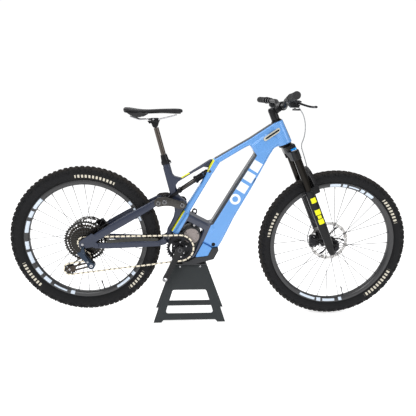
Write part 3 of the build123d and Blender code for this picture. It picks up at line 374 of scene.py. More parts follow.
def signed_area(points):
    return sum(x1 * z2 - x2 * z1 for (x1, z1), (x2, z2) in zip(points, points[1:] + points[:1])) / 2


def rounded(points, radius, steps=5):
    """An outline with its corners rounded as far as its sides allow."""
    result = []
    count = len(points)
    for i, point in enumerate(points):
        r = radius[i] if isinstance(radius, (list, tuple)) else radius
        here = Vector(point)
        before, after = Vector(points[i - 1]) - here, Vector(points[(i + 1) % count]) - here
        angle = before.angle(after)
        if r <= 0 or angle > pi - 0.03:
            result.append(tuple(here))
            continue
        reach = min(r / tan(angle / 2), 0.48 * before.length, 0.48 * after.length)
        start, end = here + before.normalized() * reach, here + after.normalized() * reach
        for k in range(steps + 1):
            t = k / steps
            result.append(tuple(start * (1 - t) ** 2 + here * 2 * t * (1 - t) + end * t * t))
    return result


def circle(centre, radius, count=24):
    return [polar(centre, radius, 2 * pi * i / count) for i in range(count)]


def hull(circles, count=32):
    """The convex outline round circles given as (x, z, radius)."""
    points = sorted({(round(x, 4), round(z, 4)) for cx, cz, r in circles
                     for x, z in circle((cx, cz), r, count)})

    def half(sequence):
        chain = []
        for p in sequence:
            while len(chain) > 1 and ((chain[-1][0] - chain[-2][0]) * (p[1] - chain[-2][1])
                                      - (chain[-1][1] - chain[-2][1]) * (p[0] - chain[-2][0])) <= 0:
                chain.pop()
            chain.append(p)
        return chain[:-1]

    return half(points) + half(points[::-1])


def smooth_line(points, steps=6):
    """A Catmull-Rom line through 3-D points."""
    points = [Vector(p) for p in points]
    knots = [points[0] * 2 - points[1]] + points + [points[-1] * 2 - points[-2]]
    result = []
    for a, b, c, d in zip(knots, knots[1:], knots[2:], knots[3:]):
        for k in range(steps):
            t = k / steps
            result.append(0.5 * (2 * b + (c - a) * t + (2 * a - 5 * b + 4 * c - d) * t * t
                                 + (3 * b - 3 * c + d - a) * t ** 3))
    return result + [points[-1]]


def strips(rows, count, closed=False):
    """Four-sided faces joining rows of `count` points, each row a ring."""
    faces = []
    for i in range(rows if closed else rows - 1):
        a, b = i * count, ((i + 1) % rows) * count
        for k in range(count):
            faces.append([a + k, a + (k + 1) % count, b + (k + 1) % count, b + k])
    return faces


def ends(rows, count):
    """The faces over the first and the last ring."""
    return [list(range(count))[::-1], [(rows - 1) * count + k for k in range(count)]]


def heading_at(path, i):
    """The direction of a line at one of its points."""
    return (path[min(i + 1, len(path) - 1)] - path[max(i - 1, 0)]).normalized()


def stepped(values, steps):
    """The values with even steps between neighbours."""
    result = []
    for a, b in zip(values, values[1:]):
        result += [a + (b - a) * k / steps for k in range(steps)]
    return result + [values[-1]]


class Shape:
    """The faces of one piece, in millimetres; `mark` picks the material."""

    def __init__(self):
        self.verts, self.faces, self.marks = [], [], []

    def add(self, verts, faces, mark=0):
        base = len(self.verts)
        self.verts += [Vector(v) for v in verts]
        self.faces += [[base + i for i in face] for face in faces]
        self.marks += [mark] * len(faces)

    def tube(self, path, radius, sides=12, mark=0, flat=1.0):
        """A tube along 3-D points; radius is one number or one for each point."""
        path = [Vector(p) for p in path]
        count = len(path)
        radii = radius if isinstance(radius, (list, tuple)) else [radius] * count
        normal = None
        verts = []
        for i, point in enumerate(path):
            heading = heading_at(path, i)
            if normal is None:
                normal = heading.orthogonal().normalized() if abs(heading.y) > 0.9 else Vector((0, 1, 0))
            normal = (normal - heading * normal.dot(heading)).normalized()
            across = heading.cross(normal)
            for k in range(sides):
                a = 2 * pi * k / sides
                verts.append(point + normal * cos(a) * radii[i] * flat + across * sin(a) * radii[i])
        self.add(verts, strips(count, sides) + ends(count, sides), mark)

    def lathe(self, profile, centre, axis=(0, 1, 0), sides=48, mark=0, closed=False):
        """A profile of (radius, distance along the axis) points turned about an axis."""
        axis = Vector(axis).normalized()
        centre = Vector(centre)
        u = axis.orthogonal().normalized()
        v = axis.cross(u)
        verts = []
        for r, along in profile:
            for k in range(sides):
                a = 2 * pi * k / sides
                verts.append(centre + axis * along + (u * cos(a) + v * sin(a)) * r)
        count = len(profile)
        faces = strips(count, sides, closed) + ([] if closed else ends(count, sides))
        self.add(verts, faces, mark)

    def plate(self, loops, low, high, mark=0, place=side_view):
        """A flat outline with holes, given a thickness between two depths."""
        if isinstance(loops[0][0], (int, float)):
            loops = [loops]
        bm = bmesh.new()
        for loop in loops:
            ring = [bm.verts.new((a, b, 0)) for a, b in loop]
            for i, vert in enumerate(ring):
                bm.edges.new((vert, ring[(i + 1) % len(ring)]))
        bm.verts.index_update()
        flat = [(v.co.x, v.co.y) for v in bm.verts]
        if len(loops) == 1:
            caps = [list(range(len(flat)))]
        else:
            bmesh.ops.triangle_fill(bm, edges=bm.edges[:], use_beauty=True)
            caps = [[v.index for v in f.verts] for f in bm.faces]
        bm.free()
        total = len(flat)
        verts = [place(a, b, low) for a, b in flat] + [place(a, b, high) for a, b in flat]
        faces = [cap[::-1] for cap in caps] + [[i + total for i in cap] for cap in caps]
        base = 0
        for loop in loops:
            count = len(loop)
            for i in range(count):
                j = (i + 1) % count
                faces.append([base + i, base + j, base + j + total, base + i + total])
            base += count
        self.add(verts, faces, mark)

    def block(self, centre, half, mark=0, taper=0.0, turn=None):
        """A box, its top smaller by `taper`; turn is a 3x3 matrix."""
        x, y, z = half
        t = 1 - taper
        corners = [(-x, -y, -z), (x, -y, -z), (x, y, -z), (-x, y, -z),
                   (-x * t, -y * t, z), (x * t, -y * t, z), (x * t, y * t, z), (-x * t, y * t, z)]
        turn = turn or Matrix.Identity(3)
        faces = [[3, 2, 1, 0], [4, 5, 6, 7], [0, 1, 5, 4], [1, 2, 6, 5], [2, 3, 7, 6], [3, 0, 4, 7]]
        self.add([turn @ Vector(c) + Vector(centre) for c in corners], faces, mark)

    def bolt(self, point, axis, radius, height, mark=0, dark=None):
        """A domed bolt head with a hexagonal socket, standing on `point`."""
        axis = Vector(axis).normalized()
        u = axis.orthogonal().normalized()
        v = axis.cross(u)
        point = Vector(point)
        sides = 24
        profile = [(radius, 0), (radius, height * 0.55), (radius * 0.9, height * 0.88),
                   (radius * 0.78, height)]
        verts = [point + axis * h + (u * cos(2 * pi * k / sides) + v * sin(2 * pi * k / sides)) * r
                 for r, h in profile for k in range(sides)]
        faces = strips(len(profile), sides)
        base = len(verts)
        hexa = radius * 0.5
        for depth in (height, height * 0.25):
            verts += [point + axis * depth + (u * cos(pi * k / 3) + v * sin(pi * k / 3)) * hexa
                      for k in range(6)]
        top = 3 * sides
        for k in range(6):
            fan = [top + (k * 4 + j) % sides for j in range(5)]
            faces.append(fan + [base + (k + 1) % 6, base + k])
            faces.append([base + k, base + (k + 1) % 6, base + 6 + (k + 1) % 6, base + 6 + k])
        self.add(verts, faces, mark)
        self.add(verts[base + 6:], [[0, 1, 2, 3, 4, 5]], mark if dark is None else dark)

    def solid(self, name, materials=()):
        """The faces as an object in metres, their normals outward."""
        mesh = bpy.data.meshes.new(name)
        mesh.from_pydata([tuple(v * MM) for v in self.verts], [], self.faces)
        for material in materials:
            mesh.materials.append(material)
        mesh.polygons.foreach_set("material_index", self.marks)
        bm = bmesh.new()
        bm.from_mesh(mesh)
        bmesh.ops.recalc_face_normals(bm, faces=bm.faces[:])
        bm.to_mesh(mesh)
        bm.free()
        obj = bpy.data.objects.new(name, mesh)
        bpy.context.scene.collection.objects.link(obj)
        return obj

    def build(self, name, body, slot, materials, replaces=(), bevel=0.0, segments=2, angle=34,
              voxel=0.0, relax=0, levels=0, trims=(), cuts=()):
        """Makes the object, finishes its mesh, and puts it on its body."""
        materials = materials if isinstance(materials, (list, tuple)) else [materials]
        obj = self.solid(name, materials)
        mesh = obj.data
        tools = []

        def carve(shapes):
            for shape in shapes:
                tool = shape.solid("cut")
                difference = obj.modifiers.new("cut", "BOOLEAN")
                difference.operation = "DIFFERENCE"
                difference.solver = "EXACT"
                difference.object = tool
                tools.append(tool)

        if voxel:
            for shapes in ([trims, ()] if trims else [()]):
                remesh = obj.modifiers.new("weld", "REMESH")
                remesh.mode = "VOXEL"
                remesh.voxel_size = voxel * MM
                carve(shapes)
            soften = obj.modifiers.new("soften", "SMOOTH")
            soften.factor = 0.5
            soften.iterations = relax
        carve(cuts)
        if levels:
            subdivide = obj.modifiers.new("subdivide", "SUBSURF")
            subdivide.levels = subdivide.render_levels = levels
        if bevel:
            edge = obj.modifiers.new("edge", "BEVEL")
            edge.width = bevel * MM
            edge.segments = segments
            edge.limit_method = "ANGLE"
            edge.angle_limit = radians(angle)
        if obj.modifiers:
            bpy.context.view_layer.update()
            made = bpy.data.meshes.new_from_object(obj.evaluated_get(bpy.context.evaluated_depsgraph_get()))
            obj.modifiers.clear()
            obj.data = made
            bpy.data.meshes.remove(mesh)
            made.name = name
        for tool in tools:
            bpy.data.objects.remove(tool)
        obj.data.polygons.foreach_set("use_smooth", [True] * len(obj.data.polygons))
        if not voxel:
            obj.data.set_sharp_from_angle(angle=radians(angle + 4))
        elif cuts:
            obj.data.set_sharp_from_angle(angle=radians(60))
        if replaces:
            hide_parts(*([replaces] if isinstance(replaces, str) else replaces))
        if body:
            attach(obj, body)
        return obj


def keep(node, *materials):
    """Gives a CAD node that is shown as it is its finish."""
    obj = frame["nodes"][node]
    obj.data.materials.clear()
    for material in materials:
        obj.data.materials.append(material)


# ================================================================ finishes
SKY, NAVY = (0.105, 0.30, 0.66), (0.019, 0.026, 0.052)
YELLOW, PALE = (0.80, 0.80, 0.01), (0.80, 0.83, 0.86)
SATIN_BLACK = (0.02, 0.02, 0.022)

stand_coat = plastic("stand powder coat", (0.024, 0.028, 0.030), 0.55, 900, 0.3)
black_coat = anodised("black anodised", (0.012, 0.012, 0.014))
soft_black = plastic("black plastic", (0.012, 0.012, 0.014))
grip_rubber = rubber("grip rubber", (0.009, 0.009, 0.010))
gloss_black = gloss("gloss black", (0.004, 0.004, 0.005), 0.12)
navy_paint = painted("navy paint", NAVY)
bolt_steel = brushed("bolt steel", (0.62, 0.62, 0.64), (900, 900, 900), 0.22)
dark_bolt = anodised("dark bolt", (0.05, 0.05, 0.055), 0.32)
blue_alloy = anodised("blue alloy", (0.01, 0.25, 0.70), 0.28)
bronze = anodised("bronze alloy", (0.050, 0.040, 0.032), 0.35)
grey_alloy = anodised("blue grey alloy", (0.032, 0.046, 0.070), 0.34)
link_alloy = anodised("grey brown alloy", (0.040, 0.038, 0.036), 0.40)
rail_steel = brushed("rail steel", (0.50, 0.50, 0.52), (30, 600, 600), 0.28)
chain_plate = brushed("chain plate", (0.84, 0.77, 0.62), (400, 400, 400), 0.36)
chain_dark = brushed("chain roller", (0.035, 0.033, 0.03), (500, 500, 500), 0.40)
spoke_metal = brushed("spoke metal", (0.07, 0.07, 0.075), (200, 200, 200), 0.34)
post_metal = brushed("post tube", (0.100, 0.086, 0.076), (50, 50, 50), 0.2, 0.9)
stanchion_metal = brushed("stanchion", (0.016, 0.014, 0.012), (300, 300, 20), 0.16, 0.9)


def on_tube(up, across):
    """A side-view point up along the down tube and ahead of its middle."""
    return (191 + 0.52 * up + 0.854 * across, 760 + 0.854 * up - 0.52 * across)


def frame_paint():
    """Sky blue with a fluorescent band and strip, a charcoal edge and plain white shapes."""
    n = Nodes("sky blue paint")
    base = n.mix(n.cells(1500), shade(SKY, 0.96), shade(SKY, 1.05))
    # plain white blocks set square to the down tube, and a ring below them
    for low, high, left, right in ((-4, 44, -22, 25), (-62, -18, -22, 25), (-122, -78, -22, 25)):
        base = n.mix(n.inside([on_tube(low, left), on_tube(low, right), on_tube(high, right),
                               on_tube(high, left)]), base, PALE)
    reach, _ = n.around(on_tube(-166, 1))
    base = n.mix(n.band(reach, 0.014, 0.026), base, PALE)
    dark = (0.030, 0.036, 0.045)
    for outline in (
        [(-40, 480), (2, 493.5), (206, 828), (176, 866)],
        [(8, 808.5), (171, 904.5), (166, 915), (2, 822)],
        [(171, 904.5), (280, 976.5), (274, 988), (166, 915)],
    ):
        base = n.mix(n.inside(outline), base, dark)
    front = n.step(n.side_of((FOOT.x, FOOT.z), (AHEAD.x, AHEAD.z)), 0.0275)
    height = n.band(n.side_of((FOOT.x, FOOT.z), (UP.x, UP.z)), 0.586, 0.668)
    base = n.mix(n.math("MULTIPLY", front, height), base, dark)
    gusset = [(-172, 440), (-125, 300), (-83, 318), (-8, 494), (-12, 502), (-112, 548)]
    base = n.mix(n.inside(gusset), base, NAVY)
    for outline in (
        [(-36, 752), (-26, 747), (6, 803), (-4, 810)],
        [(-146, 564), (-206, 462), (-196, 455), (-135, 558)],
    ):
        base = n.mix(n.inside(outline), base, YELLOW)
    n.bump(n.noise(120, 2), 0.02)
    return n.finish(base, n.spread(n.noise(30), 0.36, 0.46), metal=0.12, coat=0.6, coat_rough=0.16)


def rim_finish(name, centre, shapes):
    """Satin black rim with pale generic patches; each shape is (angle from, to, inner, outer)."""
    n = Nodes(name)
    radius, turn = n.around(centre)
    base = mottled(n, (0.018, 0.018, 0.020), 0.1)
    for start, end, low, high in shapes:
        patch = n.math("MULTIPLY", n.band(radius, low * MM, high * MM),
                       n.band(turn, start / 360, end / 360, 0.0004))
        base = n.mix(patch, base, (0.62, 0.70, 0.80))
    return n.finish(base, n.spread(n.noise(70), 0.34, 0.46), coat=0.3)


def tyre_finish(name, centre, tread_r, marks):
    """Tyre rubber: a brownish tread lighter than the sidewall, partly dust and partly a painted highlight, a
    ribbed sidewall and short pale dashes on it.
    """
    n = Nodes(name)
    radius, turn = n.around(centre)
    # the tread band is lighter than the sidewall: partly dust, partly a painted highlight on the knobs
    dust_and_highlight = n.step(radius, (tread_r - 12) * MM, 0.006)
    base = n.mix(dust_and_highlight, (0.008, 0.009, 0.011), (0.036, 0.031, 0.027))
    base = n.mix(n.noise(60, 4), shade((0.014, 0.013, 0.013), 0.8), base)
    dashes = n.band(n.math("FRACT", n.math("MULTIPLY", turn, 118.0)), 0.12, 0.66, 0.04)
    for start, end in marks:
        patch = n.math("MULTIPLY", n.band(radius, (tread_r - 52) * MM, (tread_r - 38) * MM),
                       n.band(turn, start / 360, end / 360))
        base = n.mix(n.math("MULTIPLY", patch, dashes), base, (0.62, 0.58, 0.48))
    ribs = n.math("SINE", n.math("MULTIPLY", radius, 2200.0))
    n.bump(ribs, 0.12, 0.0006)
    n.bump(n.noise(500, 4), 0.3, 0.0006)
    return n.finish(base, n.spread(n.noise(70), 0.70, 0.88), specular=0.2)


# ================================================================ brake hose
HOSE_R = 2.5
HOSE_ROUTE = [
    Vector((327.6, -148.4, 1067.1)), Vector((338, -122, 1069)), Vector((368, -98, 1058)),
    Vector((402, -80, 1022)), Vector((424, -52, 970)), Vector((434, -6, 912)), steer(78, 40, 518),
    steer(80, 56, 462), steer(77, 63, 404), steer(72, 69, 346), steer(66, 74, 290),
    steer(58, 82, 232), steer(46, 91, 176), steer(24, 97, 124), steer(-6, 97, 84),
    steer(-34, 84, 58), steer(-52, 62, 42), steer(-56, 45, 32),
]


def spline_points(route):
    """Points along a smooth NURBS line through the route's control points, in millimetres."""
    curve = bpy.data.curves.new("route", "CURVE")
    curve.dimensions = "3D"
    spline = curve.splines.new("NURBS")
    spline.points.add(len(route) - 1)
    for point, place in zip(spline.points, route):
        point.co = (*(Vector(place) * MM), 1)
    spline.order_u = 3
    spline.use_endpoint_u = True
    spline.resolution_u = 8
    obj = bpy.data.objects.new("route", curve)
    bpy.context.scene.collection.objects.link(obj)
    line = bpy.data.meshes.new_from_object(obj)
    points = [v.co / MM for v in line.vertices]
    bpy.data.objects.remove(obj)
    bpy.data.curves.remove(curve)
    bpy.data.meshes.remove(line)
    return points


def hose_finish():
    n = Nodes("hose cover")
    n.bump(n.noise(1.0, 2, n.stretch(900, 900, 300)), 0.15, 0.0003)
    return n.finish(mottled(n, (0.30, 0.31, 0.32), 0.08), 0.42, coat=0.3)


hose_line = spline_points(HOSE_ROUTE)
hose_length = sum((b - a).length for a, b in zip(hose_line, hose_line[1:]))
hose = Shape()
hose.tube(hose_line, HOSE_R, 12)
hose = hose.build("brake_hose", None, "hose_cover", hose_finish(), "front_brake_hose")
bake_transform(hose)


# ================================================================ wheels
def tyre(name, body, node, centre, radius, bead_r, width, marks):
    """A knobbly tyre: casing, two staggered centre rows, transition rows and shoulder blocks."""
    x, z = centre
    knob = 4.2
    casing_h = (radius - knob - bead_r) / 2
    middle = bead_r + casing_h
    casing_w = width / 2 - 2.2
    shape = Shape()

    def section(angle):
        """The casing's radius and width at an angle round its cross-section."""
        return (middle + casing_h * cos(angle), casing_w * sin(angle))

    outer = [section(radians(a)) for a in range(-152, 153, 8)]
    inner = [(middle + (casing_h - 4) * cos(radians(a)), (casing_w - 3) * sin(radians(a)))
             for a in range(144, -145, -16)]
    foot = bead_r - 5
    profile = [(foot, -14.5), (bead_r + 2, -14.8)] + outer + [(bead_r + 2, 14.8), (foot, 14.5), (foot, 11)]
    shape.lathe(profile + inner + [(foot, -11)], (x, 0, z), sides=144, closed=True)

    def block(turn, angle, long, wide, tall, skew=0.0):
        """One rubber knob: round the wheel by turn, round the casing by angle."""
        r, y = section(angle)
        out = Vector((cos(turn) * cos(angle), sin(angle) * casing_h / casing_w,
                      sin(turn) * cos(angle))).normalized()
        ahead = Vector((-sin(turn), 0, cos(turn)))
        across = out.cross(ahead).normalized()
        ahead, across = ahead * cos(skew) + across * sin(skew), across * cos(skew) - ahead * sin(skew)
        base = Vector((x + r * cos(turn), y, z + r * sin(turn))) - out * 1.0
        verts = []
        for h, k in ((0, 1.12), (tall * 0.8, 1.0), (tall + 1.0, 0.84)):
            for i, j in ((-1, -1), (1, -1), (1, 1), (-1, 1)):
                verts.append(base + out * h + ahead * i * long / 2 * k + across * j * wide / 2 * k)
        shape.add(verts, [[8, 9, 10, 11]] + strips(3, 4))

    count = round(2 * pi * radius / 27)
    for i in range(count):
        turn = 2 * pi * i / count
        half = pi / count
        for sign in (-1, 1):
            stagger = half * (0.5 if sign > 0 else 0)
            block(turn + stagger, sign * radians(11), 11, 10, knob - 0.6, sign * 0.12)
            if i % 2:
                block(turn + half, sign * radians(33), 10, 9, knob - 0.6, sign * 0.35)
            else:
                block(turn + half, sign * radians(38), 8, 11, knob - 0.6, -sign * 0.25)
            block(turn + half * (i % 2), sign * radians(60), 13, 10, knob, sign * 0.1)
            block(turn + half, sign * radians(77), 5, 7, 1.6)
    finish = tyre_finish(name + " rubber", centre, radius, marks)
    shape.build(name, body, "tyre_rubber", finish, node)


def rim(name, body, node, centre, bead_r, patches):
    """A hollow-looking box rim with its hooked sides, and a valve."""
    x, z = centre
    low = bead_r - 20
    side = [(low, 0), (low, 6), (low + 1.5, 9.5), (low + 8, 16.5), (low + 11, 17.6), (bead_r + 1.5, 18.3),
            (bead_r + 3, 17.6), (bead_r + 3, 16.0), (bead_r + 1, 15.2), (bead_r - 6, 15.2), (bead_r - 8, 12),
            (bead_r - 8, 0)]
    profile = side + [(r, -y) for r, y in side[-2:0:-1]]
    shape = Shape()
    shape.lathe(profile, (x, 0, z), sides=160, closed=True)
    shape.build(name, body, "black_anodised", rim_finish(name + " finish", centre, patches), node)
    valve = Shape()
    turn = radians(-74)
    out = Vector((cos(turn), 0, sin(turn)))
    start = Vector((x, 0, z)) + out * low
    valve.lathe([(3, 1), (3, -6), (2.2, -8), (2.2, -30), (3.1, -31), (3.4, -44), (2.0, -46), (0.1, -46)],
                start, out, 16)
    valve.build(name + "_valve", body, "black_anodised", black_coat)


def spokes(name, body, node, centre, rim_r, flange_y, count=32):
    """Crossed spokes with their bent heads and nipples."""
    x, z = centre
    shape = Shape()
    flange = 27.0
    for i in range(count):
        turn = 2 * pi * i / count
        flank = -1 if i % 2 else 1
        lead = 1 if (i // 2) % 2 else -1
        hub_turn = turn + lead * radians(52)
        near = flange_y[0] if flank < 0 else flange_y[1]
        head = Vector((x + flange * cos(hub_turn), near - lead * 2.4, z + flange * sin(hub_turn)))
        elbow = Vector((x + flange * cos(hub_turn), near + lead * 2.2, z + flange * sin(hub_turn)))
        end = Vector((x + rim_r * cos(turn), flank * 3.0, z + rim_r * sin(turn)))
        run = (end - elbow).normalized()
        shape.tube([head, elbow - run * 0.4, elbow + run * 2.2, end - run * 12], 1.25, 8)
        shape.lathe([(2.0, 0), (2.0, 1.2), (1.0, 1.4)], head, head - elbow, 8)
        shape.lathe([(1.3, 0), (1.9, 1), (1.9, 11), (2.4, 12.5), (2.4, 13.5)], end - run * 13, run, 8, mark=1)
    shape.build(name, body, "spoke_steel", (spoke_metal, dark_bolt), node)


def flange(shape, centre, y, radius, thickness, holes=16, bore=8.0):
    """A hub flange pierced for its spokes."""
    loops = [circle(centre, radius, 48), circle(centre, bore, 24)]
    for i in range(holes):
        turn = 2 * pi * (i + 0.25) / holes
        loops.append(circle(polar(centre, radius - 3.4, turn), 1.3, 8))
    shape.plate(loops, y - thickness / 2, y + thickness / 2)


def wavy(centre, radius, wave, count=180):
    """A circle whose radius rises and falls twelve times in a turn."""
    turns = [2 * pi * i / count for i in range(count)]
    return [polar(centre, radius + wave * cos(12 * turn), turn) for turn in turns]


def brake_disc(name, body, node, centre, y, radius=100.0):
    """A vented steel disc on an alloy spider."""
    finish = turned(name + " steel", (0.42, 0.41, 0.40), centre, 0.26)
    loops = [wavy(centre, radius - 0.9, -0.9), wavy(centre, radius - 16.5, 1.6)]
    for i in range(24):
        turn = 2 * pi * (i + 0.5) / 24
        for r, size in ((radius - 5.4, 2.0), (radius - 10.6, 2.4)):
            spot_turn = turn + (0.03 if r > radius - 8 else -0.03)
            loops.append(circle(polar(centre, r, spot_turn), size, 10))
    shape = Shape()
    shape.plate(loops, y - 0.9, y + 0.9)
    for i in range(6):
        turn = 2 * pi * i / 6
        path = [(22, 0.42), (40, 0.30), (60, 0.14), (76, 0.04), (86, 0.0)]
        left, right = [], []
        for r, lead in path:
            half = 3.6 + 1.8 * (r > 75) - 0.8 * (30 < r < 70)
            for side, line in ((1, left), (-1, right)):
                line.append(polar(centre, r, turn + lead + side * half / r))
        shape.plate(left + right[::-1], y - 1.2, y + 1.2, mark=1)
    shape.plate([circle(centre, 25, 48), circle(centre, 18, 36)], y - 1.3, y + 1.3, mark=1)
    for i in range(6):
        turn = 2 * pi * i / 6 + 0.04
        spot = at_y(polar(centre, 84, turn), y + 1.2)
        shape.lathe([(3.6, -3), (3.6, 0.4), (2.4, 0.9), (0.1, 0.9)], spot, (0, 1, 0), 14, mark=2)
    shape.build(name, body, "disc_steel", (finish, black_coat, bolt_steel), node)


FRONT_BEAD, REAR_BEAD = 311.0, 292.0
FRONT_R, REAR_R = 374.0, 362.0
tyre("front_tyre_tread", "front_wheel", "front_tyre", FRONT_AXLE, FRONT_R, FRONT_BEAD, 64.0,
     [(-56, -24), (20, 44), (150, 172)])
tyre("rear_tyre_tread", "rear_wheel", "rear_tyre", REAR_AXLE, REAR_R, REAR_BEAD, 71.0,
     [(-160, -134), (62, 96), (-50, -30)])
rim("front_rim_box", "front_wheel", "front_rim", FRONT_AXLE, FRONT_BEAD, [
    (52, 60, 294, 309), (62, 66, 294, 309), (68, 78, 298, 305), (80, 84, 294, 309), (86, 96, 294, 309),
    (-120, -104, 296, 307), (-102, -98, 294, 309), (-96, -84, 296, 307), (-80, -77, 294, 309)])
rim("rear_rim_box", "rear_wheel", "rear_rim", REAR_AXLE, REAR_BEAD, [
    (134, 146, 275, 290), (149, 156, 275, 290), (160, 172, 275, 290), (-179, -171, 275, 290),
    (-168, -156, 275, 290), (-150, -142, 275, 290), (-138, -130, 275, 290), (-126, -112, 279, 286),
    (-108, -104, 275, 290), (-60, -44, 277, 288), (-40, -36, 275, 290), (20, 34, 277, 288),
    (38, 42, 275, 290)])
spokes("front_spoke_set", "front_wheel", "front_spokes", FRONT_AXLE, FRONT_BEAD - 20, (-29.5, 21.5))
spokes("rear_spoke_set", "rear_wheel", "rear_spokes", REAR_AXLE, REAR_BEAD - 20, (-19.0, 35.5))

hub = Shape()
hub.lathe([(8, -54.8), (10.5, -54.8), (11, -48), (13.5, -46), (14, -37), (18, -33), (18, -31), (14, -27),
           (12.5, -20), (12.5, 10), (15, 17), (18, 19), (18, 24), (18, 28), (21, 30), (21, 39), (13, 40),
           (12, 46), (10.5, 47), (10.5, 54.8), (8, 54.8)], at_y(FRONT_AXLE, 0))
flange(hub, FRONT_AXLE, -29.5, 30.5, 2.6, bore=14)
flange(hub, FRONT_AXLE, 21.5, 30.5, 2.6, bore=14)
hub.build("front_hub_shell", "front_wheel", "black_anodised", black_coat, "front_hub", bevel=0.3)
hub = Shape()
hub.lathe([(6.1, -23.4), (20, -23.4), (21, -21), (17, -16), (15, -8), (15, 26), (18, 32), (18, 39), (21, 42),
           (21, 58), (13, 59.5), (12, 66), (10, 67), (10, 73.6), (6.1, 73.6)], at_y(REAR_AXLE, 0))
flange(hub, REAR_AXLE, -19.0, 30.5, 2.6, bore=16)
flange(hub, REAR_AXLE, 35.5, 30.5, 2.6, bore=16)
hub.build("rear_hub_shell", "rear_wheel", "black_anodised", black_coat, "rear_hub", bevel=0.3)
brake_disc("front_disc", "front_wheel", "front_rotor", FRONT_AXLE, 40.0)
brake_disc("rear_disc", "rear_wheel", "rear_rotor", REAR_AXLE, 59.0)


# ================================================================ cogs, chainring and chain
PITCH = 12.7
CHAIN_Y = -55.0
RING_TEETH, COG_TEETH, GUIDE_TEETH, TENSION_TEETH = 32, 14, 12, 14
COGS = (10, 12, 14, 16, 18, 21, 24, 28, 32, 36, 42, 50)
COG_STEP = 3.3


def pitch_radius(teeth):
    return PITCH / (2 * sin(pi / teeth))


def toothed(centre, teeth, phase=0.0, tall=3.6):
    """A sprocket outline: round valleys for the rollers and slim pointed teeth."""
    x, z = centre
    r = pitch_radius(teeth)
    outline = []
    for i in range(teeth):
        for share, lift in ((0.0, -3.9), (0.12, -3.5), (0.24, -1.6), (0.37, 1.2), (0.44, tall), (0.56, tall),
                            (0.63, 1.2), (0.76, -1.6), (0.88, -3.5)):
            turn = phase + 2 * pi * (i + share) / teeth
            outline.append((x + (r + lift * min(1.0, tall / 2.4 + 0.2)) * cos(turn),
                            z + (r + lift) * sin(turn)))
    return outline


def arm(centre, turn, inner, outer, wide, sweep=0.0, steps=5):
    """A curved arm's outline from one radius to another."""
    left, right = [], []
    for i in range(steps + 1):
        t = i / steps
        r = inner + (outer - inner) * t
        a = turn + sweep * t
        half = wide / 2 * (1 + 0.5 * abs(2 * t - 1) ** 2)
        left.append(polar(centre, r, a + half / r))
        right.append(polar(centre, r, a - half / r))
    return left + right[::-1]


def wrap_path(wheels):
    """The straight runs of a belt round (centre, radius, turn) wheels; turn is 1 anticlockwise."""
    legs = []
    for (c1, r1, d1), (c2, r2, d2) in zip(wheels, wheels[1:] + wheels[:1]):
        dx, dz = c2[0] - c1[0], c2[1] - c1[1]
        heading = atan2(dz, dx) - asin((d2 * r2 - d1 * r1) / hypot(dx, dz))
        left = (-sin(heading), cos(heading))
        legs.append(((c1[0] - d1 * r1 * left[0], c1[1] - d1 * r1 * left[1]),
                     (c2[0] - d2 * r2 * left[0], c2[1] - d2 * r2 * left[1])))
    return legs


def chain_line(wheels, count):
    """`count` even points along the belt, each with its heading; the runs are straight."""
    legs = wrap_path(wheels)
    parts = []
    for i, (start, end) in enumerate(legs):
        parts.append(("run", hypot(end[0] - start[0], end[1] - start[1]), start, end))
        centre, radius, turn = wheels[(i + 1) % len(wheels)]
        leave = legs[(i + 1) % len(legs)][0]
        a1 = atan2(end[1] - centre[1], end[0] - centre[0])
        a2 = atan2(leave[1] - centre[1], leave[0] - centre[0])
        sweep = (a2 - a1) % (2 * pi) if turn > 0 else -((a1 - a2) % (2 * pi))
        parts.append(("arc", abs(sweep) * radius, (centre, radius, a1), sweep))
    total = sum(part[1] for part in parts)
    places = []
    for k in range(count):
        left = total * k / count
        for kind, length, a, b in parts:
            if left <= length:
                break
            left -= length
        t = left / length
        if kind == "run":
            places.append((a[0] + (b[0] - a[0]) * t, a[1] + (b[1] - a[1]) * t))
        else:
            centre, radius, first = a
            places.append(polar(centre, radius, first + b * t))
    return places, total


ring_wheel = (CRANK, pitch_radius(RING_TEETH), 1)
cog_wheel = (REAR_AXLE, pitch_radius(COG_TEETH), 1)
guide_wheel = (GUIDE_PULLEY, pitch_radius(GUIDE_TEETH), -1)
tension_wheel = (TENSION_PULLEY, pitch_radius(TENSION_TEETH), 1)
CHAIN_WHEELS = [ring_wheel, cog_wheel, guide_wheel, tension_wheel]
_, chain_total = chain_line(CHAIN_WHEELS, 1)
LINKS = 2 * round(chain_total / PITCH / 2)
PINS, _ = chain_line(CHAIN_WHEELS, LINKS)


def valley_turn(centre, radius):
    """The angle, as seen from a wheel, of a chain pin that rests in one of its valleys."""
    resting = [p for p in PINS if abs(hypot(p[0] - centre[0], p[1] - centre[1]) - radius) < 0.4]
    x, z = resting[len(resting) // 2]
    return atan2(z - centre[1], x - centre[0])


def link_outline(a, b, r, waist):
    """The figure-of-eight outline of a chain plate between two pins."""
    a, b = Vector(a), Vector(b)
    along = (b - a).normalized()
    across = Vector((-along.y, along.x))
    points = []
    for centre, way in ((b, along), (a, -along)):
        side = Vector((-way.y, way.x))
        for k in range(-3, 4):
            t = k * pi / 2 / 3 * 1.12
            points.append(tuple(centre + way * r * cos(t) + side * r * sin(t)))
        middle = (a + b) / 2
        points.append(tuple(middle + side * waist))
    return points


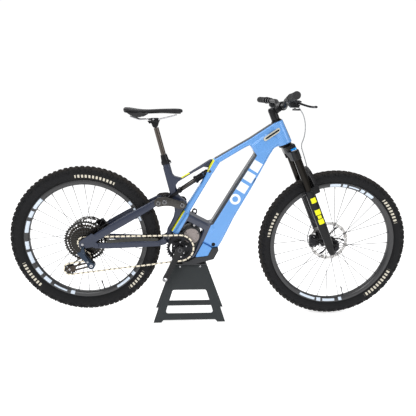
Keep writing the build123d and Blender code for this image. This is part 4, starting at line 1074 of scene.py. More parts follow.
pieces = {"chain_front": Shape(), "chain_back": Shape(), "chain_cage": Shape()}
for i, (a, b) in enumerate(zip(PINS, PINS[1:] + PINS[:1])):
    mid = ((a[0] + b[0]) / 2, (a[1] + b[1]) / 2)
    if mid[1] > 384 and mid[0] < -430:
        chain = pieces["chain_back"]
    elif mid[0] < -555:
        chain = pieces["chain_cage"]
    else:
        chain = pieces["chain_front"]
    outer = i % 2
    low, high = (1.85, 2.4) if outer else (1.15, 1.75)
    for sign in (-1, 1):
        chain.plate(link_outline(a, b, 4.1 if outer else 3.9, 2.7), CHAIN_Y + sign * low,
                    CHAIN_Y + sign * high, mark=0 if outer else 1)
    chain.lathe([(3.6, -1.1), (3.6, 1.1)], at_y(a, CHAIN_Y), sides=10, mark=2)
    chain.lathe([(1.5, -2.4), (1.7, -2.4), (1.7, 2.4), (1.5, 2.4)], at_y(a, CHAIN_Y), sides=8, mark=2)
inner_plate = brushed("chain inner plate", (0.030, 0.028, 0.025), (400, 400, 400), 0.42)
chain_parts = {}
for name, shape in pieces.items():
    chain_parts[name] = shape.build(name, None, "chain_steel", (chain_plate, inner_plate, chain_dark),
                                    "chain")
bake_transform(chain_parts["chain_front"])
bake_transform(chain_parts["chain_back"])
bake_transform(chain_parts["chain_cage"])


def cassette():
    """Twelve stepped cogs, the inner ones cut away between arms."""
    steel = turned("cog steel", (0.040, 0.039, 0.038), REAR_AXLE, 0.30, rings=700)
    bronzed = turned("cog bronze", (0.034, 0.030, 0.027), REAR_AXLE, 0.30, rings=700)
    shape = Shape()
    for i, teeth in enumerate(COGS):
        y = CHAIN_Y + (i - 2) * COG_STEP
        phase = valley_turn(REAR_AXLE, pitch_radius(COG_TEETH)) if teeth == COG_TEETH else 0.13 * i
        r = pitch_radius(teeth)
        inner = max(15.0, r - 13.0) if teeth > 16 else 14.0
        mark = 1 if teeth in (18, 24, 32, 42) else 0
        shape.plate([toothed(REAR_AXLE, teeth, phase, 2.2), circle(REAR_AXLE, inner, 40)], y - 0.8, y + 0.8,
                    mark)
        if inner > 16:
            for k in range(6):
                shape.plate(arm(REAR_AXLE, phase + 2 * pi * k / 6, 15, inner + 1, 6.5, 0.5), y - 0.7, y + 0.7,
                            mark)
    shape.lathe([(17, -23.9), (17, -66), (14, -68), (11.5, -69), (11.5, -73.6), (8, -73.6), (8, -23.9)],
                at_y(REAR_AXLE, 0), sides=40, mark=2, closed=True)
    shape.build("cassette_cogs", "cog_stack", "cog_steel", (steel, bronzed, black_coat), "cassette",
                bevel=0.25, segments=1)


cassette()

ring = Shape()
phase = valley_turn(CRANK, pitch_radius(RING_TEETH))
windows = []
for k in range(5):
    t = 2 * pi * (k + 0.5) / 5
    corners = ((33, t - 0.46), (49, t - 0.50), (51, t), (49, t + 0.50), (33, t + 0.46), (31, t))
    windows.append(rounded([polar(CRANK, r, a) for r, a in corners], 5))
ring.plate([toothed(CRANK, RING_TEETH, phase, 3.4), *windows, circle(CRANK, 12, 32)], CHAIN_Y - 1.5,
           CHAIN_Y + 1.5)
ring.lathe([(25, -2), (27, -4.5), (24, -6), (16, -6), (16, -2)], at_y(CRANK, CHAIN_Y), sides=40, closed=True)
for k in range(5):
    a = 2 * pi * k / 5 + 0.3
    ring.bolt(at_y(polar(CRANK, 30, a), CHAIN_Y - 1.5), (0, -1, 0), 3.6, 2.2, mark=1, dark=0)
ring.tube([at_y(CRANK, -84), at_y(CRANK, 84)], 12, 32, mark=1)
ring.build("chainring_teeth", "crankset", "black_anodised", (black_coat, bolt_steel), "chainring", bevel=0.3,
           segments=1)

CRANK_LENGTH = 165.0
ARM_WAY = Vector((-71.3, -147.9)).normalized()


def crank_arm(sign):
    """A forged arm with a recessed outer face and a steel thread insert."""
    way = ARM_WAY * (-sign)
    side = Vector((-way.y, way.x))
    centre = Vector(CRANK)
    inner, outer = 70.0, 86.0

    def both_sides(stations, radius):
        """A rounded outline from (distance along the arm, half width) stations."""
        near = [tuple(centre + way * d + side * w) for d, w in stations]
        far = [tuple(centre + way * d - side * w) for d, w in stations[::-1]]
        return rounded(near + far, radius)

    outline = both_sides([(-18, 9), (-12, 15.5), (0, 18), (14, 17.5), (45, 14.5), (95, 12.5), (135, 12.5),
                          (155, 14), (170, 13), (177, 8)], 6)
    trough = both_sides([(26, 9), (60, 7.2), (132, 6.2), (146, 4)], 4)
    eye = tuple(centre + way * CRANK_LENGTH)
    shape = Shape()
    shape.plate([outline, circle(eye, 9.0, 32)], sign * inner, sign * (outer - 1.2))
    shape.plate([outline, circle(eye, 9.0, 32), trough], sign * (outer - 1.3), sign * outer)
    shape.lathe([(9.2, 0), (9.2, 16.2), (7.4, 16.6), (7.2, 16.2), (7.2, 0)],
                at_y(eye, sign * inner), (0, sign, 0), 32, mark=1, closed=True)
    shape.lathe([(16.5, -6), (16.5, 0), (12, 0)], at_y(CRANK, sign * inner), (0, sign, 0), 40)
    shape.lathe([(11, 0), (11, 1.6), (9.5, 2.4), (7.0, 2.4), (6.4, -2), (0.1, -2)],
                at_y(CRANK, sign * (outer - 0.6)), (0, sign, 0), 32, mark=2)
    return shape


for sign, label in ((-1, "right"), (1, "left")):
    crank_arm(sign).build(label + "_crank", "crankset", "gloss_black", (gloss_black, bolt_steel, dark_bolt),
                          "crank_arm_" + label, bevel=1.6, segments=3)


# ================================================================ frame
def cylinder(start, end, radius, end_radius=None, sides=32):
    """A plain closed cylinder or cone, for joining or cutting."""
    start, end = Vector(start), Vector(end)
    shape = Shape()
    last = radius if end_radius is None else end_radius
    shape.lathe([(radius, 0), (last, (end - start).length)], start, end - start, sides)
    return shape


def join(*shapes):
    """One shape from several."""
    whole = Shape()
    for shape in shapes:
        base = len(whole.verts)
        whole.verts += shape.verts
        whole.faces += [[base + i for i in face] for face in shape.faces]
        whole.marks += shape.marks
    return whole


HEAD_BOTTOM, HEAD_TOP = 564.0, 678.0
TOP_TUBE = [
    (-2.5, 806), (8.5, 814), (171.5, 910), (278.5, 981), (322, 997), (345, 940), (200, 840), (172.5, 875),
    (145, 861), (30.5, 792), (14, 766), (-32.5, 752),
]
SEAT_STRUT = [
    (-2.5, 806), (-57.5, 695), (-126.5, 584), (-202.5, 455), (-182.5, 436), (-167, 449), (-116.5, 543),
    (-25.5, 700), (30.5, 792),
]
DOWN_TUBE = [
    (-48, 400), (-22, 495), (-8, 500), (115.5, 705), (195.5, 834), (186.5, 856), (172.5, 875), (250, 935),
    (332, 908), (342, 893), (315.5, 876), (288.5, 862), (267.5, 829), (244.5, 784), (181.5, 664.5),
    (104.5, 529), (45.5, 405), (27, 373), (-2, 373),
]
MOTOR_MOUNT = [
    (-128, 549), (-111.5, 543), (-21.5, 495), (-8, 500), (10, 470), (-48, 400), (-88, 325), (-112, 318),
    (-100, 345), (-92, 353), (-46, 466), (-124, 508), (-165, 440), (-190, 448),
]


def hydroformed(outline, half, crown=0.78, inset=7.0):
    """A side outline as a tube wall: full width in its middle, drawn in towards its edges."""
    shape = Shape()
    shape.plate(outline, -half * crown, half * crown)
    points = [Vector(p) for p in outline]
    count = len(points)
    turned_in = []
    way = 1 if signed_area(outline) > 0 else -1
    for i, point in enumerate(points):
        before = (point - points[i - 1]).normalized()
        after = (points[(i + 1) % count] - point).normalized()
        normal = Vector((-(before + after).y, (before + after).x)).normalized() * way
        turned_in.append(tuple(point + normal * inset))
    shape.plate(turned_in, -half, half)
    return shape


body = join(hydroformed(TOP_TUBE, 22.5), hydroformed(SEAT_STRUT, 27.5, 0.8, 5),
            hydroformed(MOTOR_MOUNT, 41.5, 0.85, 5))
tube = hydroformed(DOWN_TUBE, 38.5, 0.8, 9)
# the down tube narrows towards the head tube
for vert in tube.verts:
    ahead = max(0.0, min(1.0, ((vert.x - 120) * 0.5 + (vert.z - 700) * 0.86) / 190))
    vert.y *= 1 - 0.27 * ahead
frame_shape = join(body, tube, cylinder(steer(0, 0, HEAD_BOTTOM), steer(0, 0, HEAD_TOP), 36, 29.8, 48))
pocket = Shape()
pocket.plate([(-2, 770), (-2, 736), (-60, 680), (-122, 636), (-130, 720), (-60, 760), (-30, 770)], -21, 21)
bore = cylinder(steer(0, 0, 530), steer(0, 0, 720), 24.2, sides=48)
below = cylinder(steer(0, 0, 500), steer(0, 0, HEAD_BOTTOM), 70)
above = cylinder(steer(0, 0, HEAD_TOP), steer(0, 0, 730), 70)
frame_shape.build("frame_tubes", "frame", "sky_blue_paint", frame_paint(), "main_frame", voxel=2.4, relax=9,
                  trims=[below, above, pocket], cuts=[bore])

slot = Shape()
slot_line = [Vector((234.1, -32.4, 899.7)), Vector((262, -31.6, 919)), Vector((290, -30.6, 938)),
             Vector((313, -29.5, 954))]
slot.tube(smooth_line(slot_line, 4), [6] + [10.5] * 11 + [6], 16, flat=0.22)
slot.build("cable_port_rim", "frame", "sky_blue_paint", plastic("cable port rim", (0.46, 0.46, 0.40)),
           levels=1)
slot = Shape()
slot.tube([p + Vector((0, -1.5, 0)) for p in smooth_line(slot_line, 4)][1:-1], [3] + [4.8] * 9 + [3], 12,
          flat=0.3)
slot.build("cable_port_mouth", "frame", "black_rubber", grip_rubber, levels=1)

MAST = [
    (-238, 765), (-210, 653), (-196, 600), (-186.5, 575), (-185.5, 552), (-190.5, 525), (-205, 494),
    (-222, 464), (-226, 440), (-207, 425), (-190, 443), (-202.5, 455), (-126.5, 584), (-125, 597),
    (-150, 618), (-168, 636), (-176, 651), (-178, 682), (-168, 697), (-158.5, 717.5), (-185, 725),
    (-202, 747), (-205, 774),
]
BRACE = [(-178, 690), (-168, 697), (-96.7, 741), (-45.4, 770), (-24, 766), (-2.5, 806), (-16.5, 805.3),
         (-144.5, 723.7), (-158.5, 717.5), (-180, 724)]


def mast_finish():
    """Navy paint with a small bright accent on the brace."""
    n = Nodes("navy mast paint")
    base = n.mix(n.cells(1500), shade(NAVY, 0.94), shade(NAVY, 1.08))
    return lacquered(n, n.mix(n.inside([(-150, 716), (-112, 738), (-114, 743), (-153, 721)]), base, YELLOW))


mast = join(hydroformed(MAST, 17.6, 0.82, 4), hydroformed(BRACE, 11.8, 0.8, 4),
            cylinder(along_post(-215), along_post(-30), 17.9, sides=48),
            cylinder(at_y(MAIN_PIVOT, -19.8), at_y(MAIN_PIVOT, 19.8), 17.8),
            cylinder(at_y(ROCKER_PIVOT, -48.8), at_y(ROCKER_PIVOT, 48.8), 13.9))
mast.build("seat_tube", "frame", "navy_paint", mast_finish(), "seat_mast", voxel=1.9, relax=7,
           cuts=[cylinder(along_post(-205), along_post(4), 15.3, sides=48)])

bolts = Shape()
for sign in (-1, 1):
    bolts.bolt(at_y(ROCKER_PIVOT, sign * 57.2), (0, sign, 0), 11.8, 3.6, mark=0, dark=1)
    bolts.lathe([(7.9, -58), (7.9, -30)], at_y(ROCKER_PIVOT, 0), (0, -sign, 0), 24)
    bolts.bolt(at_y(MAIN_PIVOT, sign * 33.4), (0, sign, 0), 10.8, 3.4, mark=0, dark=1)
    bolts.lathe([(7.9, -34), (7.9, -10)], at_y(MAIN_PIVOT, 0), (0, -sign, 0), 24)
    bolts.bolt(at_y(SHOCK_TOP, sign * 27.2), (0, sign, 0), 6.5, 2.6, mark=1, dark=1)
bolts.tube([at_y(SHOCK_TOP, -28), at_y(SHOCK_TOP, 28)], 4.9, 20)
bolts.build("frame_bolts", "frame", "chrome_bolt",
            (brushed("pivot bolt", (0.16, 0.16, 0.165), (900, 900, 900), 0.25), dark_bolt),
            "frame_pivot_bolts")

clamp_bolt = Shape()
clamp_bolt.bolt((-205, -9.2, 791), (0, -1, 0), 3.4, 3.0, dark=0)
clamp_bolt.build("seat_clamp_bolt", "frame", "chrome_bolt", bolt_steel)
keep("seat_clamp", black_coat)
keep("dropper_outer", anodised("dropper collar", SATIN_BLACK, 0.3))
keep("headset_cups", black_coat)
keep("battery_pack", soft_black)
keep("skid_plate", plastic("skid plate", (0.030, 0.031, 0.034), 0.6, 900, 0.4))

# ================================================================ drive unit
MOTOR_CENTRE = (-103.5, 437.0)
unit = Shape()
unit.plate(hull([(*CRANK, 42), (*MOTOR_CENTRE, 45), (-118, 352, 39)], 48), -36, 36)
unit.lathe([(24, -47.5), (24, 47.5)], at_y(CRANK, 0), sides=48)
for dx, dz in ((-34, -22), (-30, 26), (6, -40), (-2, 62)):
    unit.lathe([(9, -37.5), (9, 37.5)], (CRANK[0] + dx, 0, CRANK[1] + dz), sides=24)
front_cut = Shape()
front_cut.plate([(-112, 318), (-100, 345), (-92, 353), (-46, 466), (0, 480), (0, 290), (-112, 290)], -60, 60)
unit.build("motor_case", "frame", "black_plastic",
           plastic("motor case", (0.022, 0.023, 0.025), 0.48, 1200, 0.35),
           "drive_unit", voxel=1.9, relax=5,
           cuts=[front_cut, cylinder(at_y(CRANK, -60), at_y(CRANK, 60), 12.2)])

cover_grey = plastic("warm grey casting", (0.27, 0.235, 0.225), 0.46, 600, 0.2)
cover = Shape()
cover.lathe([(37.5, 0), (37.5, 3.5), (35, 6.2), (32, 7.0), (30.5, 5.4), (21, 5.4), (19.5, 7.0), (9, 7.4),
             (0.1, 7.4)],
            at_y(MOTOR_CENTRE, -38.2), (0, -1, 0), 72)
for k in range(12):
    a = 2 * pi * k / 12
    turn = Matrix(((cos(a), 0, -sin(a)), (0, 1, 0), (sin(a), 0, cos(a))))
    cover.block(at_y(polar(MOTOR_CENTRE, 25.7, a), -43.9), (5.2, 1.2, 1.0), turn=turn)
for k in range(3):
    a = 2 * pi * k / 3 + 0.4
    cover.bolt(at_y(polar(MOTOR_CENTRE, 33.5, a), -43.6), (0, -1, 0), 3.2, 2.0, mark=1)
cover.build("motor_cover", "frame", "warm_grey_cast", (cover_grey, dark_bolt), "drive_unit_cover", bevel=0.5)
extras = Shape()
extras.bolt((-91, -38.5, 490), (0, -1, 0), 5.0, 2.6, mark=0, dark=1)
extras.build("motor_bolt", "frame", "chrome_bolt", (bolt_steel, dark_bolt))

lid = Shape()
lid.plate(rounded([(-48, 398.5), (-3.5, 372.7), (-24, 332.5), (-86, 325)], 5), -36.6, 36.6)
lid.build("battery_lid", "frame", "sky_blue_paint", painted("lid paint", SKY), "battery_cover", bevel=3.0,
          segments=4)
cap = Shape()
cap.lathe([(0.1, -38.6), (6, -38.8), (8.6, -39.2), (9.6, -38.4), (9.6, -30)], (3, 0, 392), (0, 1, 0), 32)
cap.build("charge_port_cap", "frame", "black_rubber", grip_rubber, bevel=0.3)

# ================================================================ stand
STAND_X = -114.0
STAND_HALF, STAND_SLOPE = 77, 0.2179


def lean(sign):
    """Places points on one leaning sheet of the stand: along, up the slope, and inward."""
    up = Vector((0, -sign * 61, 280)).normalized()
    inward = Vector((0, -sign * 280, -61)).normalized()
    origin = Vector((STAND_X, sign * STAND_HALF, 0))
    return lambda a, b, depth: origin + Vector((a, 0, 0)) + up * b + inward * depth


for sign, label in ((-1, "right"), (1, "left")):
    sheet = Shape()
    sheet_outline = [(-178, 1), (-137, 1), (-137, 4), (-128, 13), (128, 13), (137, 4), (137, 1), (178, 1),
                     (84.8, 284), (-84.8, 284)]
    window = rounded([(-119.5, 46), (119.5, 46), (82.5, 161), (-82.5, 161)], 12)
    sheet.plate([sheet_outline, window], 0.1, 3.9, place=lean(sign))
    sheet.build("stand_sheet_" + label, "stand", "stand_slate", stand_coat, "stand_side_panels", bevel=0.9,
                segments=3)
screws = Shape()
for sign in (-1, 1):
    for x in (-160.5, -60.5):
        z = 271.0
        y = sign * (STAND_HALF - STAND_SLOPE * z - 0.2)
        screws.bolt((x, y, z), (0, sign, 0.2), 5.0, 2.2, dark=1)
screws.build("stand_screws", "stand", "chrome_bolt", (bolt_steel, dark_bolt))
keep("stand_top_plate", painted("stand top coat", (0.030, 0.032, 0.036), 0.08))
keep("stand_pad", rubber("stand pad rubber", (0.020, 0.020, 0.021)))


# ================================================================ rear triangle
def box_tube(path, halves, side_halves, power=4.0, sides=20):
    """A squared-off tube along a path: half heights and half widths for each point."""
    path = [Vector(p) for p in path]
    shape = Shape()
    verts = []
    for i, point in enumerate(path):
        heading = heading_at(path, i)
        across = Vector((0, 1, 0))
        across = (across - heading * across.dot(heading)).normalized()
        tall = heading.cross(across)
        for k in range(sides):
            a = 2 * pi * k / sides
            c, s = cos(a), sin(a)
            size = (abs(c) ** power + abs(s) ** power) ** (-1 / power)
            verts.append(point + across * c * size * side_halves[i] + tall * s * size * halves[i])
    shape.add(verts, strips(len(path), sides) + ends(len(path), sides))
    return shape


def cross_tube(point, y_from, y_to, radius, sides=32):
    return cylinder(at_y(point, y_from), at_y(point, y_to), radius, sides=sides)


def stay_half(sign):
    """One chainstay with its pivot lug and its dropout end."""
    path = [(-236, 30, 408), (-262, 45.5, 402), (-330, 46.5, 401), (-420, 57.5, 401), (-500, 68.8, 401.5),
            (-556, 69.5, 402)]
    stay = box_tube([(x, sign * y, z) for x, y, z in path], [13, 14, 15.5, 15.5, 15, 13.5],
                    [7, 5.4, 5.6, 5.2, 3.6, 3.6])
    lug = Shape()
    lug.plate(hull([(*MAIN_PIVOT, 18.6), (-238, 409, 15.2)]), sign * 21, sign * 32.6)
    web = Shape()
    web.plate(hull([(-236, 409, 14.5), (-262, 402, 13.5)]), sign * 26, sign * 44)
    eye = cross_tube(HORST, sign * 65.8, sign * 73.2, 14.6)
    return join(stay, lug, web, eye)


bridge = Shape()
bridge.plate(rounded([(-246, 399), (-232, 399), (-231, 417), (-246, 419)], 4), -43, 43)
stays = join(stay_half(-1), stay_half(1), bridge)
stays.build("chainstay_pair", "swingarm", "navy_paint", navy_paint, "chainstays", voxel=1.7, relax=4, cuts=[
    cross_tube(MAIN_PIVOT, -50, 50, 8.3), cross_tube(HORST, -80, -60, 6.3), cross_tube(HORST, 60, 80, 6.3)])
guard = Shape()
guard_line = [(-264, -45.5, 421.5), (-330, -46.5, 423.5), (-420, -57.5, 423.5), (-505, -68.8, 421)]
guard.tube(smooth_line(guard_line, 8), [5, 7.4] + [8.6] * 21 + [7.4, 5], 14, flat=0.62)
hump = Shape()
for point in smooth_line(guard_line, 8)[2:-2:2]:
    hump.block(point + Vector((0, 0, 7.2)), (4.0, 4.0, 2.2), taper=0.3)


# the left seatstay's middle line; the right one mirrors it
SEATSTAY = [(-249, 44, 606), (-272, 44.8, 604), (-300, 46, 588), (-360, 56, 556), (-420, 65.5, 523),
            (-480, 73.2, 489), (-540, 77.4, 453), (-572, 78.1, 430)]


def upper_half(sign):
    """One seatstay from the rocker to the dropout plate."""
    stay = box_tube([(x, sign * y, z) for x, y, z in SEATSTAY], [13, 15.5, 17, 19, 19.5, 19, 18, 17],
                    [4.8, 5.0, 5.6, 6.4, 6.4, 5.8, 3.9, 3.8], power=3.2)
    plate = Shape()
    dropout = rounded([(-545, 446), (-570, 466), (-612, 439), (-633, 424), (-632, 397), (-602, 392.6), (-570, 399),
                       (-552, 391), (-541, 396), (-541, 414), (-556, 424), (-562, 430)], 7)
    plate.plate(dropout, sign * 74.5, sign * 81.7)
    top = cross_tube(STAY_TOP, sign * 38.8, sign * 49.2, 15.5)
    return join(stay, plate, top)


arch = Shape()
arch.tube([(-274, -42, 594), (-274, 42, 594)], 5.8, 24)
upper = join(upper_half(-1), upper_half(1), arch)
upper.build("seatstay_pair", "upper_stays", "navy_paint", painted("seatstay navy", NAVY), "seatstays",
            voxel=1.7, relax=4, cuts=[
    cross_tube(STAY_TOP, -60, -30, 10), cross_tube(STAY_TOP, 30, 60, 10),
    cross_tube(REAR_AXLE, 70, 90, 6.2), cross_tube(REAR_AXLE, -90, -70, 6.2)])
pins = Shape()
for sign in (-1, 1):
    pins.tube([at_y(HORST, sign * 66), at_y(HORST, sign * 75.5)], 5.9, 24)
pins.build("horst_pins", "upper_stays", "chrome_bolt", bolt_steel)
keep("rear_axle", brushed("rear axle steel", (0.35, 0.35, 0.36), (400, 30, 400), 0.3))
join(guard, hump).build("chainstay_guard", "swingarm", "grey_brown_link",
                        rubber("chainstay guard rubber", (0.045, 0.045, 0.040)), bevel=0.0)

ROCKER = [(-279, 604), (-276, 620), (-261.6, 630.5), (-240, 633), (-224, 633.4), (-195.7, 626), (-158, 613.8),
          (-139, 612), (-127.5, 599), (-128, 586), (-140, 575.5), (-163, 576), (-196, 588), (-215, 590.5),
          (-234, 590), (-262, 585.2), (-275, 592)]
plates = Shape()
for sign in (-1, 1):
    window = rounded([(-213, 600), (-172, 590), (-166, 596), (-172, 602), (-208, 613)], 4)
    plates.plate([rounded(ROCKER, 6), circle(ROCKER_PIVOT, 8.2, 32), window], sign * 50.1, sign * 55.0)
    plates.plate([rounded([(x * 0.93 - 14.3, z * 0.93 + 42.4) for x, z in ROCKER], 6),
                  circle(ROCKER_PIVOT, 12.5, 32)],
                 sign * 54.8, sign * 56.8)
    for place, r in ((STAY_TOP, 11.5), (YOKE, 11.5)):
        plates.bolt(at_y(place, sign * 56.6), (0, sign, 0), r, 3.0, mark=1, dark=2)
    plates.tube([at_y(STAY_TOP, sign * 38.4), at_y(STAY_TOP, sign * 52)], 4.9, 20, mark=1)
    plates.tube([at_y(YOKE, sign * 20.8), at_y(YOKE, sign * 52)], 8.8, 24, mark=1)
plates.build("rocker_plates", "rocker", "grey_brown_link",
             (link_alloy, brushed("rocker bolt", (0.16, 0.16, 0.165), (900, 900, 900), 0.25), dark_bolt),
             "rocker_link", bevel=0.7, segments=2)

# ================================================================ shock
SHOCK_LINE = Vector((YOKE[0] - SHOCK_TOP[0], 0, YOKE[1] - SHOCK_TOP[1]))
SHOCK_LENGTH = SHOCK_LINE.length
SHOCK_DIR = SHOCK_LINE.normalized()


def along_shock(distance):
    """A point measured down the shock from its upper eye."""
    return Vector(at_y(SHOCK_TOP, 0)) + SHOCK_DIR * distance


can = Shape()
can.lathe([(11.2, 83.8), (18.6, 83.8), (18.9, 82), (18.9, 74), (18.2, 73), (18.2, 72), (15.3, 70.5),
           (15.3, 52), (14.9, 51.4), (14.9, 50), (15.3, 49.4), (15.3, 20), (15.3, 12), (13, 8.5),
           (11.2, 8.5)], along_shock(0),
           SHOCK_DIR, 48, closed=True)
can.lathe([(16.0, 30), (16.3, 31), (16.3, 36), (16.0, 37), (15.2, 37), (15.2, 30)], along_shock(0), SHOCK_DIR,
          48, mark=1, closed=True)
can.lathe([(9.9, -17.8), (9.9, 17.8), (5.2, 17.8), (5.2, -17.8)], at_y(SHOCK_TOP, 0), (0, 1, 0), 32,
          closed=True)
can.lathe([(11.3, 13), (14, 13), (14, 9), (11.3, 9)], along_shock(0), SHOCK_DIR, 32, closed=True)
can.build("shock_air_can", "shock_body", "black_anodised", (black_coat, grey_alloy), "shock_can", bevel=0.4)
BRIDGE = SHOCK_LENGTH - 92.0
rodpiece = Shape()
rodpiece.lathe([(10.9, 75.5), (10.9, BRIDGE)], along_shock(0), SHOCK_DIR, 40, mark=1)
rodpiece.lathe([(10.9, 88), (11.12, 88.4), (11.12, 90.6), (10.9, 91)], along_shock(0), SHOCK_DIR, 32, mark=2)
along = SHOCK_DIR
up_side = Vector((-along.z, 0, along.x))


def on_bracket(a, b, depth):
    """Places a point across the shock yoke: across the bike, off the shock's line, and along it."""
    return along_shock(BRIDGE) + Vector((0, a, 0)) + up_side * b + along * depth


rodpiece.plate(rounded([(-27.6, -10.6), (27.6, -10.6), (27.6, 10.6), (-27.6, 10.6)], 7), 0.3, 11.8,
               place=on_bracket)
for sign in (-1, 1):
    middle = sign * 24
    rodpiece.plate(rounded([(middle - 3.3, -7.2), (middle + 3.3, -7.2), (middle + 3.3, 7.2),
                            (middle - 3.3, 7.2)], 1.5),
                   6, 77.6, place=on_bracket)
    rodpiece.plate([circle(YOKE, 18.3, 48), circle(YOKE, 14.1, 40)], sign * 20.7, sign * 27.3)
    rodpiece.bolt(on_bracket(sign * 18, 0, 11.6), along, 3.4, 1.8, mark=3)
rodpiece.build("shock_yoke_rod", "shock_rod", "black_anodised",
               (black_coat, brushed("shock rod steel", (0.060, 0.055, 0.052), (60, 60, 60), 0.2), grip_rubber,
                bolt_steel),
               "shock_shaft", bevel=0.9, segments=2)

# ================================================================ fork
crown = Shape()


def in_front_plane(a, b, depth):
    """Places a point by its distance across, up along the steering axis, and ahead of it."""
    return steer(depth, a, b)


crown_outline = [
    (-85.6, 484.4), (-46.4, 484.4), (-44, 500), (-26, 520), (26, 520), (44, 500), (46.4, 484.4),
    (85.6, 484.4), (85.6, 521), (78, 529.4), (48, 529.6), (36, 553), (-36, 553), (-48, 529.6),
    (-78, 529.4), (-85.6, 521),
]
crown.plate(crown_outline, -19, 37, place=in_front_plane)


def in_steer_plane(a, b, depth):
    return steer(a, b, depth)


plan_spots = [(LEG_OFFSET, -LEG_Y, 21.6), (4, 0, 28.6), (LEG_OFFSET, LEG_Y, 21.6)]
plan = hull(plan_spots, 48)
keep_out = Shape()
keep_out.plate([[(-80, -140), (120, -140), (120, 140), (-80, 140)], plan], 460, 580, place=in_steer_plane)
bores = [cylinder(steer(LEG_OFFSET, y, 470), steer(LEG_OFFSET, y, 523.6), 18.1, sides=48)
         for y in (-LEG_Y, LEG_Y)]
bores.append(cylinder(steer(LEG_OFFSET, -LEG_Y, 515), steer(LEG_OFFSET, -LEG_Y, 545), 6.2))
hollow = Shape()
hollow.plate(rounded([(-38, 478), (38, 478), (34, 496), (22, 510), (-22, 510), (-34, 496)], 8), -30, 22,
             place=in_front_plane)
crown.build("crown_bridge", "fork_upper", "gloss_black", gloss_black, "fork_crown", voxel=1.7, relax=5,
            trims=[keep_out, hollow], cuts=bores)
steerer = cylinder(steer(0, 0, 540), steer(0, 0, 741.8), 14.2, sides=40)
steerer.lathe([(12.8, 529.3), (12.8, 534), (11.6, 537.4), (7, 537.8), (6.2, 536.6), (0.1, 536.6)],
              steer(LEG_OFFSET, LEG_Y, 0), UP, 40, mark=1)
steerer.build("steerer_and_air_cap", "fork_upper", "gloss_black", (black_coat, gloss_black), bevel=0.3)
keep("fork_stanchions", stanchion_metal)

knob = Shape()
knob.lathe([(14.8, 530.4), (14.8, 532.8), (13.9, 533.4), (13.9, 534.0), (13.4, 540.2), (12.2, 540.8),
            (0.1, 540.8)],
           steer(LEG_OFFSET, -LEG_Y, 0), UP, 48)
for k in range(18):
    a = 2 * pi * k / 18
    out = AHEAD * cos(a) + Vector((0, 1, 0)) * sin(a)
    knob.tube([steer(LEG_OFFSET, -LEG_Y, 534.4) + out * 13.2, steer(LEG_OFFSET, -LEG_Y, 540.2) + out * 12.6],
              0.9, 8)
knob.lathe([(14.7, 530.35), (14.95, 530.8), (14.95, 532.4), (14.7, 532.9)], steer(LEG_OFFSET, -LEG_Y, 0), UP,
           48, mark=1)
knob.lathe([(5.8, 525.5), (5.8, 531)], steer(LEG_OFFSET, -LEG_Y, 0), UP, 24, mark=1)
knob.build("damper_dial", "damper_knob", "blue_anodised", (blue_alloy, bolt_steel), "compression_knob",
           bevel=0.2)

LOWER_TOP = 324.0


def lowers_finish():
    """Gloss black with plain yellow blocks up the outer side of the near leg."""
    n = Nodes("fork lowers lacquer")
    across = n.node("ShaderNodeSeparateXYZ", {0: n.place}).outputs[1]
    near = n.math("SUBTRACT", 1.0, n.step(across, -0.078))
    base = mottled(n, (0.004, 0.004, 0.005), 0.15, 15)
    axis = (UP.x, UP.z)
    foot = (FOOT + AHEAD * LEG_OFFSET)
    for low, high, half in ((150, 176, 13), (180, 196, 9), (200, 226, 13), (262, 288, 12)):
        along = n.band(n.side_of((foot.x, foot.z), axis), low * MM, high * MM)
        wide = n.band(n.side_of((foot.x, foot.z), (AHEAD.x, AHEAD.z)), -half * MM, half * MM)
        base = n.mix(n.math("MULTIPLY", near, n.math("MULTIPLY", along, wide)), base, YELLOW)
    n.bump(n.noise(180, 2), 0.02)
    return n.finish(base, n.spread(n.noise(45), 0.22, 0.34), coat=0.1, coat_rough=0.04, specular=0.2)


lowers = Shape()
for sign in (-1, 1):
    y = sign * LEG_Y
    lowers.lathe([(13, -26), (15.5, -18), (17.5, -4), (19.8, 12), (21.0, 60), (22.2, 120),
                  (22.2, LOWER_TOP - 8), (21.2, LOWER_TOP - 0.5)],
                 steer(LEG_OFFSET, y, 0), UP, 48)
    axle, leg = steer(FORK_OFFSET, 0, 0), steer(LEG_OFFSET, 0, 0)
    lowers.plate(hull([(axle.x, axle.z, 15.6), (leg.x, leg.z, 17.5)]), sign * 55.6, sign * 73.7)
    foot_block = Shape()
    foot_block.plate(rounded([(22, y - 19), (62, y - 17), (62, y + 17), (22, y + 19)], 8), 298, 334,
                     place=in_steer_plane)
    lowers = join(lowers, foot_block)
    lowers.lathe([(20.5, LOWER_TOP - 1), (20.5, LOWER_TOP - 0.2), (19.2, LOWER_TOP - 0.2)],
                 steer(LEG_OFFSET, y, 0), UP, 40)
arch_front = Shape()
arch_front.plate([(-84, 302), (-82, 345), (-51, 403), (-22, 418.5), (22, 418.5), (51, 403), (82, 345),
                  (84, 302), (47, 292), (46, 340), (35, 374.5), (16, 387), (-16, 387), (-35, 374.5),
                  (-46, 340), (-47, 292)],
                 43.5, 63.5, place=in_front_plane)
caliper_arm = Shape()
caliper_arm.plate([(507, 352), (560, 347), (569, 399), (517, 408)], 52, 59.5)
lowers = join(lowers, arch_front, caliper_arm)
groove = Shape()
groove.plate(rounded([(-62, 330), (-58, 352), (-38, 388), (-16, 401), (16, 401), (38, 388), (58, 352),
                      (62, 330), (55, 330), (52, 350), (34, 382), (14, 394), (-14, 394), (-34, 382),
                      (-52, 350), (-55, 330)], 2),
             59.5, 70, place=in_front_plane)
lowers_cuts = [cylinder(steer(LEG_OFFSET, y, 30), steer(LEG_OFFSET, y, 380), 18.25, sides=48)
               for y in (-LEG_Y, LEG_Y)]
